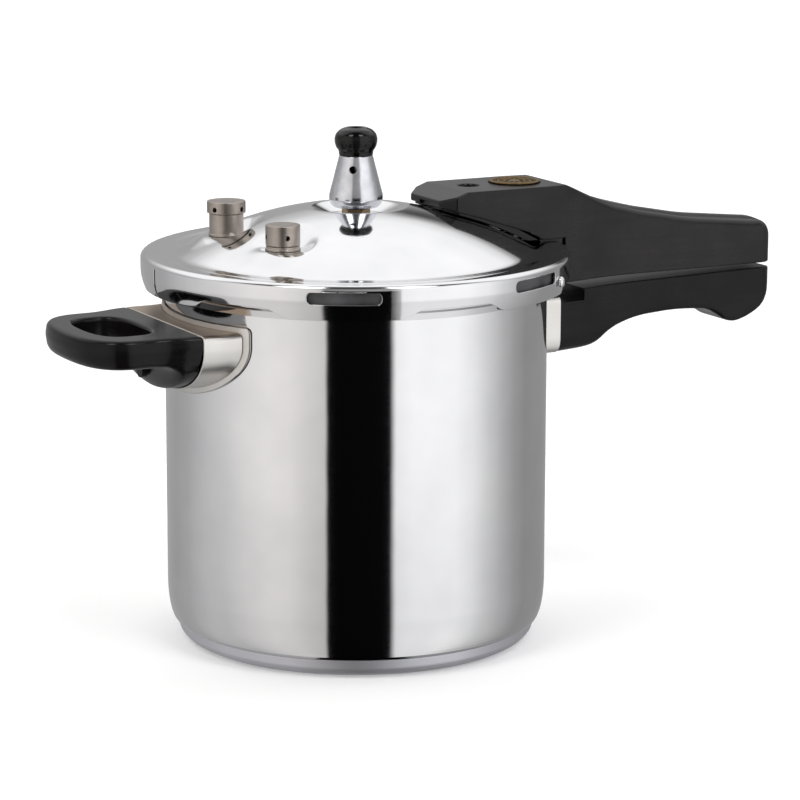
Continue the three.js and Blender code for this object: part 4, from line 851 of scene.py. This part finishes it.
def lower_handle():
    rim = LID_RADIUS
    top_z = SPLIT_Z - 2.4
    start = SLEEVE_END + 0.3
    bottom = rounded(np.array([
        [start, SLEEVE_BOTTOM], [128.5, SLEEVE_BOTTOM + 0.2], [139, SLEEVE_BOTTOM + 1.6],
        [150, SLEEVE_BOTTOM + 10], [166, SLEEVE_BOTTOM + 15], [192, SLEEVE_BOTTOM + 16.8],
        [212, SLEEVE_BOTTOM + 15.2], [219, SLEEVE_BOTTOM + 11.2], [223.5, SLEEVE_BOTTOM + 8],
        [230, SLEEVE_BOTTOM + 6.4], [238, SLEEVE_BOTTOM + 8.6], [246, SLEEVE_BOTTOM + 12.8],
        [251, SLEEVE_BOTTOM + 18.5], [HANDLE_TIP, SLEEVE_BOTTOM + 27]]),
        200, 9, closed=False)
    top = rounded(np.array([[start, 173], [rim + 15.4, 173], [rim + 15.7, top_z - 2.4],
                            [HANDLE_TIP, top_z]]), [0, 0.2, 0.3, 0], 5, closed=False)
    x = along_x(start, plan[:, 0], top[:, 0], bottom[:, 0],
                closing=[near_end(HANDLE_TIP, 8), near_end(HANDLE_TIP, 3)])
    high = follow(x, top) - end_round(x, HANDLE_TIP, 3)
    low = follow(x, bottom) + end_round(x, HANDLE_TIP, 3)
    half = half_width(x)
    corner_low = 8.6 - 5.6 * smooth(start + 8, start + 45, x)
    corner_low = np.minimum(corner_low, 0.4 * (high - low))
    return capped(box_rings(x, half, low, high, corner_low, np.minimum(1.1, 0.4 * (high - low))))


build("lower_grip", [lower_handle()], "pot", "lower_handle", shade_darkened_phenolic, 30)


def sleeve(outline, inner, wall_radius, end, side, flare, steps=10):
    """A sleeve between the pot's wall and a handle: an outline of [y, z] carried along X from the
    round wall, where it flares out by a quarter circle, to its end, and back inside."""
    y, z = outline[:, 0], outline[:, 1]
    centre_z = (z.min() + z.max()) / 2
    normal = np.stack([np.gradient(z), -np.gradient(y)], 1)
    normal /= np.maximum(np.linalg.norm(normal, axis=1), 1e-9)[:, None]
    outward = (normal * np.stack([y, z - centre_z], 1)).sum(1)
    normal *= np.sign(outward.mean())
    t = np.linspace(0, 1, steps)[:, None]
    start = np.sqrt(wall_radius**2 - np.minimum(np.abs(y), wall_radius - 1) ** 2)[None]
    spread_out = flare * (1 - np.sqrt(np.clip(1 - (1 - np.clip(t * 4, 0, 1)) ** 2, 0, 1)))
    run = start + (end - start) * t
    outer = np.stack([side * run, y + normal[:, 0] * spread_out, z + normal[:, 1] * spread_out], -1)
    edge = np.array([[0.12, 0.12], [0.35, 0.35]])
    lip = np.stack([np.stack([0 * y + side * (end + e[0]), y - normal[:, 0] * e[1],
                              z - normal[:, 1] * e[1]], -1) for e in edge])
    back = np.stack([side * run[::-1], y - normal[:, 0] * inner + 0 * t,
                     z - normal[:, 1] * inner + 0 * t], -1)
    return ring_about(np.concatenate([outer, lip, back]), closed=True)


lower_corners = rounded([[-HEAD_HALF, SLEEVE_BOTTOM], [HEAD_HALF, SLEEVE_BOTTOM], [HEAD_HALF, SLEEVE_TOP],
                         [-HEAD_HALF, SLEEVE_TOP]], [9, 9, 3, 3], 9)
lower_outline = resampled(np.concatenate([lower_corners, lower_corners[:1]]), 1.2)[:-1]
build("lower_sleeve_skin", [sleeve(lower_outline, 1.5, POT_RADIUS + 0.5, SLEEVE_END - 0.4, 1, 0.3)], "pot",
      "lower_sleeve", brushed_steel)


# ---- Helper handle ----
def helper_outline(grow=0.0, spacing=1.4):
    """Flat top, short upright sides and an elliptic underside, in Y and Z."""
    half, high, drop = 50 + grow, HELPER_TOP + grow, 27 + grow
    middle = HELPER_TOP - 7
    angle = np.linspace(0, -np.pi, 49)
    under = np.stack([half * np.cos(angle), middle + drop * np.sin(angle)], 1)
    top = rounded(np.array([[-half, middle], [-half, high], [half, high], [half, middle]]),
                  [0, 3.2, 3.2, 0], 7, closed=False)
    loop = np.concatenate([top, under[1:]])
    return resampled(loop, spacing)[:-1]


helper_sleeve = sleeve(helper_outline(), 1.5, POT_RADIUS + 2.0, -HELPER_END - 0.4, -1, 0.3)
# Its upward faces carry the painted brown reflection.
build("helper_sleeve_skin", [helper_sleeve], "pot", "helper_sleeve", steel_with_painted_top_reflection)


def helper_plate():
    """The border of the welded plate: the sleeve's outline grown by 3 mm, laid on the pot's wall."""
    grow = np.array([3.2, 2.9, 0, -6, -6, 0, 3.0, 3.3])
    lift = np.array([1.1, 1.5, 1.7, 1.7, 0.5, 0.5, 0.5, 0.7])
    count = len(helper_outline())
    rows = []
    for g, up in zip(grow, lift):
        line = helper_outline(g)
        at = np.linspace(0, len(line), count, endpoint=False)
        closed = np.concatenate([line, line[:1]])
        y = np.interp(at, np.arange(len(closed)), closed[:, 0])
        z = np.interp(at, np.arange(len(closed)), closed[:, 1])
        rows.append(np.stack([-np.sqrt((POT_RADIUS + up) ** 2 - y**2), y, z], -1))
    return ring_about(np.stack(rows), closed=True)


build("helper_plate_skin", [helper_plate()], "pot", "helper_plate", steel_with_painted_top_reflection)


def helper_handle():
    """A loop round the finger hole. At each angle about the hole's middle a closed section runs from
    the hole's wall over the top to the outer outline and back underneath; its underside drops to
    the sleeve's elliptic outline where it meets the sleeve."""
    start = HELPER_END - 0.3
    middle = np.array([-141.0, 0.0])
    t = np.linspace(0, 1, 40)[:, None]
    bend = (1 - t) ** 2 * [-142.8, 44] + 2 * t * (1 - t) * [-168.8, 44] + t**2 * [-168.8, 0]
    side = rounded(np.array([[start, 49.4], [start - 7, 48.4], [start - 19, 44.2], bend[0]]),
                   [0, 60, 60, 0], 12, closed=False)
    half_outline = np.concatenate([side[:-1], bend])
    back_face = np.stack([np.full(40, start), np.linspace(-49.4, 49.4, 40)], 1)[1:-1]
    outer = np.concatenate([half_outline, (half_outline * [1, -1])[::-1][1:], back_face])
    a = np.linspace(0, 2 * np.pi, 161)[:-1]
    squared = (np.abs(np.cos(a)) ** 3 + np.abs(np.sin(a)) ** 3) ** (-1 / 3)
    inner = np.stack([-140.2 + 15.4 * squared * np.cos(a), 27.5 * squared * np.sin(a)], 1)
    inner = np.concatenate([inner, inner[:1]])

    def polar(curve):
        d = curve - middle
        angle = np.arctan2(d[:, 1], d[:, 0])
        order = np.argsort(angle)
        radius = np.linalg.norm(d, axis=1)
        return angle[order], radius[order]

    corner = math.atan2(49.4, start - middle[0])
    psi = np.unique(np.concatenate([np.linspace(-np.pi, np.pi, 220, endpoint=False), [corner, -corner]]))
    reach = np.interp(psi, *polar(outer), period=2 * np.pi)[:, None]
    hole = np.interp(psi, *polar(inner), period=2 * np.pi)[:, None]
    edge_x = middle[0] + reach * np.cos(psi)[:, None]
    root = 1 - smooth(corner - 0.05, corner - 0.01, np.abs(psi))[:, None]
    top_out = 3.2 * (1 - root) + 0.4 * root
    low_out = 6.2 * (1 - root) + 0.4 * root
    arc = np.linspace(0, np.pi / 2, 8)[None]
    across = np.linspace(0, 1, 10)[None, 1:-1]
    up = np.linspace(0, 1, 7)[None, 1:-1]

    def underside(x, y):
        ellipse = lambda half, drop: 171 - drop * np.sqrt(np.clip(1 - (y / half) ** 2, 0, 1))
        wedge = smooth(start - 16.5, start - 5.5, x)
        deep = np.minimum(162.5, ellipse(49, 26))
        plain = 162.5 + (deep - 162.5) * wedge
        return np.maximum(plain, ellipse(50, 27))

    def place(radius, inset_z, top):
        x = middle[0] + radius * np.cos(psi)[:, None]
        y = radius * np.sin(psi)[:, None]
        z = HELPER_TOP - inset_z if top else underside(x, y) + inset_z
        return np.stack([x, y, z + 0 * x], -1)

    in_r = 2.4
    top_start, top_end = hole + in_r, reach - top_out
    low_start, low_end = reach - low_out, hole + in_r
    parts = [
        place(hole + in_r - in_r * np.cos(arc), in_r - in_r * np.sin(arc), True),
        place(top_start + (top_end - top_start) * across, 0 * across, True),
        place(reach - top_out + top_out * np.sin(arc), top_out - top_out * np.cos(arc), True),
    ]
    side_top, side_low = parts[-1][:, -1:], place(reach, low_out, False)
    bulge = 0.45 * np.sin(np.pi * up) * (1 - root)
    side = side_top + (side_low - side_top) * up[..., None]
    outwards = np.stack([np.cos(psi), np.sin(psi), 0 * psi], -1)[:, None]
    parts.append(side + outwards * bulge[..., None])
    parts.append(place(reach - low_out + low_out * np.cos(arc), low_out - low_out * np.sin(arc), False))
    parts.append(place(low_start + (low_end - low_start) * across, 0 * across, False))
    parts.append(place(hole + in_r - in_r * np.sin(arc), in_r - in_r * np.cos(arc), False))
    rings = np.concatenate(parts, 1)
    return ring_about(rings, closed=True)


build("helper_grip", [helper_handle()], "pot", "helper_handle", shade_darkened_phenolic, 30)


# ---- Medallion ----
def medallion():
    seat, top = TOP_Z - 0.9, TOP_Z + 1.2
    outline = [[0, seat], [13.75, seat], [13.75, top - 0.5], [13.3, top], [11.9, top], [11.3, top - 0.7],
               [9.6, top - 0.7], [9.2, top - 0.25], [8.4, top - 0.25], [8, top - 0.7], [3.4, top - 0.7],
               [2.6, top - 0.2], [0, top]]
    blocks = [turned(outline, [0, 0.2, 0.3, 0.3, 0.3, 0.2, 0.2, 0.2, 0.2, 0.3, 0.5, 1, 0], 96, (STUD_X, 0))]
    bead = [[0, 0], [0.55, 0], [0.5, 0.4], [0.25, 0.6], [0, 0.62]]
    for i in range(24):
        a = 2 * math.pi * i / 24
        points, faces = turned(bead, 0.2, 10, (STUD_X + 10.45 * math.cos(a), 10.45 * math.sin(a)), 3)
        blocks.append((points + np.array([0, 0, top - 0.75]), faces))
    for i in range(12):
        a = 2 * math.pi * i / 12
        points, faces = turned(bead, 0.2, 10, (0, 0), 3)
        points = points * np.array([3.2, 1.3, 0.9])
        spin = np.array([[math.cos(a), math.sin(a), 0], [-math.sin(a), math.cos(a), 0], [0, 0, 1]])
        blocks.append((points @ spin + np.array([STUD_X + 5.7 * math.cos(a), 5.7 * math.sin(a), top - 0.75]),
                       faces))
    return blocks


# Stamped brass with dark patina left in its hollows: bright on raised rings, brown below.
patinated, tree = new_material("patinated stamped brass")
place = add_node(tree, "TexCoord", out="Object")
height = add_node(tree, "SeparateXYZ", {"Vector": place}, out=2)
raised = add_node(tree, "MapRange", {"Value": height, "From Min": (TOP_Z + 0.45) * MM,
                                     "From Max": (TOP_Z + 0.85) * MM})
mottle = add_node(tree, "TexNoise", {"Vector": place, "Scale": 1 / (1.5 * MM), "Detail": 4.0})
patches = add_node(tree, "MapRange", {"Value": mottle, "To Min": 0.35, "To Max": 1.3})
worn = add_node(tree, "Math", {0: raised, 1: patches}, operation="MULTIPLY", use_clamp=True)
tone = add_node(tree, "Mix", {"Factor": worn, 6: linear("#1c1511"), 7: linear("#75603f")}, out=2,
                data_type="RGBA")
gloss = add_node(tree, "MapRange", {"Value": worn, "To Min": 0.6, "To Max": 0.38})
grain = add_node(tree, "Bump", {"Strength": 0.2, "Distance": BUMP_DEPTH, "Height": mottle})
finish_material(tree, add_node(tree, "BsdfPrincipled", {"Base Color": tone, "Metallic": 1.0,
                                                        "Roughness": gloss, "Normal": grain}))
build("medallion_rings", medallion(), "lid", "medallion", patinated)

# ---- Materials of the CAD solids that stay ----
KEPT = {
    plain_steel: "lower_handle_screw vent_screen valve_a_plunger valve_b_plunger lid_stud stud_screw "
                 "tongue_screw",
    satin_steel: "valve_a_nut valve_b_nut", silicone: "vent_seal valve_a_seal valve_b_seal float_seal",
    brass: "float_bush float_nut", aluminium: "base_core", shade_darkened_screw_steel: "helper_handle_screw",
    red_plastic: "float_pin", brushed_steel: "lid_bracket",
}
for material, names in KEPT.items():
    for name in names.split():
        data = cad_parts[name].data
        data.materials.clear()
        data.materials.append(material)

# ---- Studio ----
VIEW_TURN = math.radians(-27)
VIEW_DISTANCE = 1.8
target = np.array([0, 0, 0.111])
elevation = math.radians(12.3)
back = np.array([math.sin(VIEW_TURN) * math.cos(elevation), -math.cos(VIEW_TURN) * math.cos(elevation),
                 math.sin(elevation)])
camera_data = bpy.data.cameras.new("camera")
camera = bpy.data.objects.new("camera", camera_data)
bpy.context.scene.collection.objects.link(camera)
camera.location = target + VIEW_DISTANCE * back
camera.rotation_euler = Vector(-back).to_track_quat("-Z", "Y").to_euler()
camera_data.sensor_width = 36
camera_data.lens = 152
camera_data.shift_x = 0.055
camera_data.shift_y = 0.035
camera_data.clip_end = 200
bpy.context.scene.camera = camera


def stage_disc(name, radius, z, material):
    """A flat round sheet, one ring of points about its middle."""
    turn = np.linspace(0, 2 * np.pi, 96, endpoint=False)
    rings = np.array([0.001, 0.1, 0.4, 1])[:, None] * radius
    points = np.stack([rings * np.cos(turn), rings * np.sin(turn), z + 0 * rings * turn], -1)
    mesh = bpy.data.meshes.new(name)
    mesh.from_pydata(points.reshape(-1, 3), [], grid_faces(4, 96).tolist())
    mesh.materials.append(material)
    made = bpy.data.objects.new(name, mesh)
    bpy.context.scene.collection.objects.link(made)
    return made


# Matt white painted floor.
white_paint, tree = new_material("matt white paint")
place = add_node(tree, "TexCoord", out="Object")
speck = add_node(tree, "TexNoise", {"Vector": place, "Scale": 3.0, "Detail": 2.0})
tone = add_node(tree, "Mix", {"Factor": speck, 6: linear("#f6f6f6"), 7: linear("#f9f9f9")}, out=2,
                data_type="RGBA")
paint = add_node(tree, "BsdfDiffuse", {"Color": tone})
glow = add_node(tree, "Emission", {"Color": (1, 1, 1, 1), "Strength": 0.17})
finish_material(tree, add_node(tree, "AddShader", {0: paint, 1: glow}))
floor = stage_disc("floor", 60.0, -0.0002, white_paint)
floor.visible_glossy = False

# The room, as a world: direction in the camera's own turn, then brightness by turn and by height.
world = bpy.data.worlds.new("studio")
bpy.context.scene.world = world
world.use_nodes = True
tree = world.node_tree
tree.nodes.clear()
direction = add_node(tree, "TexCoord", out="Generated")
level = add_node(tree, "VectorRotate", {"Vector": direction, "Angle": -VIEW_TURN}, rotation_type="Z_AXIS")
right, away, high = add_node(tree, "SeparateXYZ", {"Vector": level}).node.outputs
to_camera = add_node(tree, "Math", {0: away, 1: -1.0}, operation="MULTIPLY")
turn = add_node(tree, "Math", {0: right, 1: to_camera}, operation="ARCTAN2")
turn_deg = add_node(tree, "Math", {0: turn}, operation="DEGREES")
height = add_node(tree, "Math", {0: high}, operation="ARCSINE")
height_deg = add_node(tree, "Math", {0: height}, operation="DEGREES")


def tone_by(value, low, high, stops):
    """A tone that follows stops of (position, brightness) between low and high."""
    share = add_node(tree, "MapRange", {"Value": value, "From Min": low, "From Max": high})
    made = add_node(tree, "ValToRGB", {"Fac": share})
    colours = made.node.color_ramp.elements
    for i, (at, bright) in enumerate(stops):
        element = colours[i] if i < 2 else colours.new(1.0)
        element.position = (at - low) / (high - low)
        element.color = (bright, bright, bright, 1)
    return made


# Brightness round the room at the camera's height, in turns from the camera to its right: two bright
# walls in front, grey behind.
ROUND_STOPS = [
    (-180, 0.42), (-140, 0.43), (-122, 0.5), (-104, 0.68), (-83, 0.86), (-70, 1.0), (-54, 1.1), (-40, 1.06),
    (-29, 0.92), (-17, 0.8), (17, 1.1), (22, 1.22), (34, 1.36), (62, 1.36), (74, 1.18), (86, 0.88),
    (98, 0.62), (110, 0.44), (122, 0.35), (160, 0.34), (180, 0.42)]
TOP_BRIGHT = 1.4
LAMP_TURN = 42.0
LAMP_HEIGHT = 58.0
LAMP_BRIGHT = 4.0
OVERHEAD_DARK = 0.06
WHITE = (1, 1, 1, 1)
low_room = tone_by(turn_deg, -180, 180, [(at, bright / TOP_BRIGHT) for at, bright in ROUND_STOPS])
# The left wall is a little warm.
warmth = add_node(tree, "Mix", {
    "Factor": tone_by(turn_deg, -180, 180, [(-180, 0), (-110, 0), (-55, 1), (-15, 1), (0, 0), (180, 0)]),
    6: WHITE, 7: (1.02, 0.99, 0.965, 1)}, out=2, data_type="RGBA")
low_room = add_node(tree, "Mix", {"Factor": 1.0, 6: low_room, 7: warmth}, out=2, data_type="RGBA",
                    blend_type="MULTIPLY")
# Between the walls a black gap, whose edges a pot's upright side shows as straight lines: they follow
# the rightward part of the direction over the sum of the cosines of its own and the camera's height.
squared = add_node(tree, "Math", {0: high, 1: high}, operation="MULTIPLY")
level_squared = add_node(tree, "Math", {0: 1.0, 1: squared}, operation="SUBTRACT")
flat = add_node(tree, "Math", {0: level_squared}, operation="SQRT")
reach = add_node(tree, "Math", {0: flat, 1: math.cos(elevation)}, operation="ADD")
across = add_node(tree, "Math", {0: right, 1: reach}, operation="DIVIDE")
gap_left = add_node(tree, "MapRange", {"Value": across, "From Min": -0.157, "From Max": -0.142})
gap_right = add_node(tree, "MapRange", {"Value": across, "From Min": 0.2, "From Max": 0.172})
gap_front = add_node(tree, "MapRange", {"Value": to_camera, "From Min": -0.4, "From Max": -0.3})
gap_top = add_node(tree, "MapRange", {"Value": height_deg, "From Min": -2.0, "From Max": 12.0,
                                      "To Min": 0.997, "To Max": 0.6})
gap = gap_top
for part in (gap_left, gap_right, gap_front):
    gap = add_node(tree, "Math", {0: gap, 1: part}, operation="MULTIPLY")
low_room = add_node(tree, "Mix", {"Factor": gap, 6: low_room, 7: (0, 0, 0, 1)}, out=2, data_type="RGBA")
floor_side = tone_by(height_deg, -90, 90, [(-90, 0.66), (-50, 0.74), (-30, 0.8), (-19, 0.79), (-15.6, 0.81),
                                        (-12.4, 0.98), (0, 1.0), (90, 1.0)])
floor_share = tone_by(turn_deg, -180, 180, [(-180, 0.1), (-118, 0.1), (-88, 1), (84, 1), (108, 0.1),
                                            (180, 0.1)])
low_room = add_node(tree, "Mix", {"Factor": floor_share, 6: low_room, 7: floor_side}, out=2,
                    data_type="RGBA", blend_type="MULTIPLY")
back_room = tone_by(height_deg, 0, 90, [(0, 0.3), (14, 0.34), (22, 0.5), (32, 0.88), (45, 0.97), (70, 0.95),
                                     (90, 0.8)])
# Low behind, to the right, hangs a dark cloth.
cloth = tone_by(turn_deg, -180, 180, [(-180, 1), (146, 1), (152, 0.15), (175.6, 0.15), (177.0, 1), (180, 1)])
cloth_top = add_node(tree, "MapRange", {"Value": height_deg, "From Min": 20.0, "From Max": 27.0})
cloth = add_node(tree, "Mix", {"Factor": cloth_top, 6: cloth, 7: WHITE}, out=2, data_type="RGBA")
back_room = add_node(tree, "Mix", {"Factor": 1.0, 6: back_room, 7: cloth}, out=2, data_type="RGBA",
                     blend_type="MULTIPLY")
# Overhead in front the room is dark, with two soft lamps.
side_turn = add_node(tree, "Math", {0: turn_deg}, operation="ABSOLUTE")
lamp_turn = add_node(tree, "Math", {0: side_turn, 1: LAMP_TURN}, operation="SUBTRACT")
lamp_width = add_node(tree, "Math", {0: lamp_turn, 1: 0.7}, operation="MULTIPLY")
lamp_height = add_node(tree, "Math", {0: height_deg, 1: LAMP_HEIGHT}, operation="SUBTRACT")
lamp_place = add_node(tree, "CombineXYZ", {"X": lamp_width, "Y": lamp_height})
lamp_away = add_node(tree, "VectorMath", {0: lamp_place}, out="Value", operation="LENGTH")
lamp = add_node(tree, "MapRange", {"Value": lamp_away, "From Min": 9.0, "From Max": 15.0,
                                   "To Min": LAMP_BRIGHT, "To Max": OVERHEAD_DARK},
                interpolation_type="SMOOTHSTEP")
behind = add_node(tree, "MapRange", {"Value": away, "From Min": -0.12, "From Max": 0.12},
                  interpolation_type="SMOOTHSTEP")
over_room = add_node(tree, "Mix", {"Factor": behind, 6: lamp, 7: back_room}, out=2, data_type="RGBA")
upper_start = add_node(tree, "MapRange", {"Value": behind, "To Min": 36.0, "To Max": 4.0})
past_start = add_node(tree, "Math", {0: height_deg, 1: upper_start}, operation="SUBTRACT")
upper = add_node(tree, "Math", {0: past_start, 1: 14.0}, operation="DIVIDE", use_clamp=True)
room = add_node(tree, "Mix", {"Factor": upper, 6: low_room, 7: over_room}, out=2, data_type="RGBA")
lit = add_node(tree, "Background", {"Color": room, "Strength": TOP_BRIGHT})
plain = add_node(tree, "Background", {"Color": WHITE, "Strength": 1.0})
seen = add_node(tree, "LightPath", out="Is Camera Ray")
add_node(tree, "OutputWorld", {"Surface": add_node(tree, "MixShader", {0: seen, 1: lit, 2: plain})})

bpy.context.scene.view_settings.view_transform = "Standard"
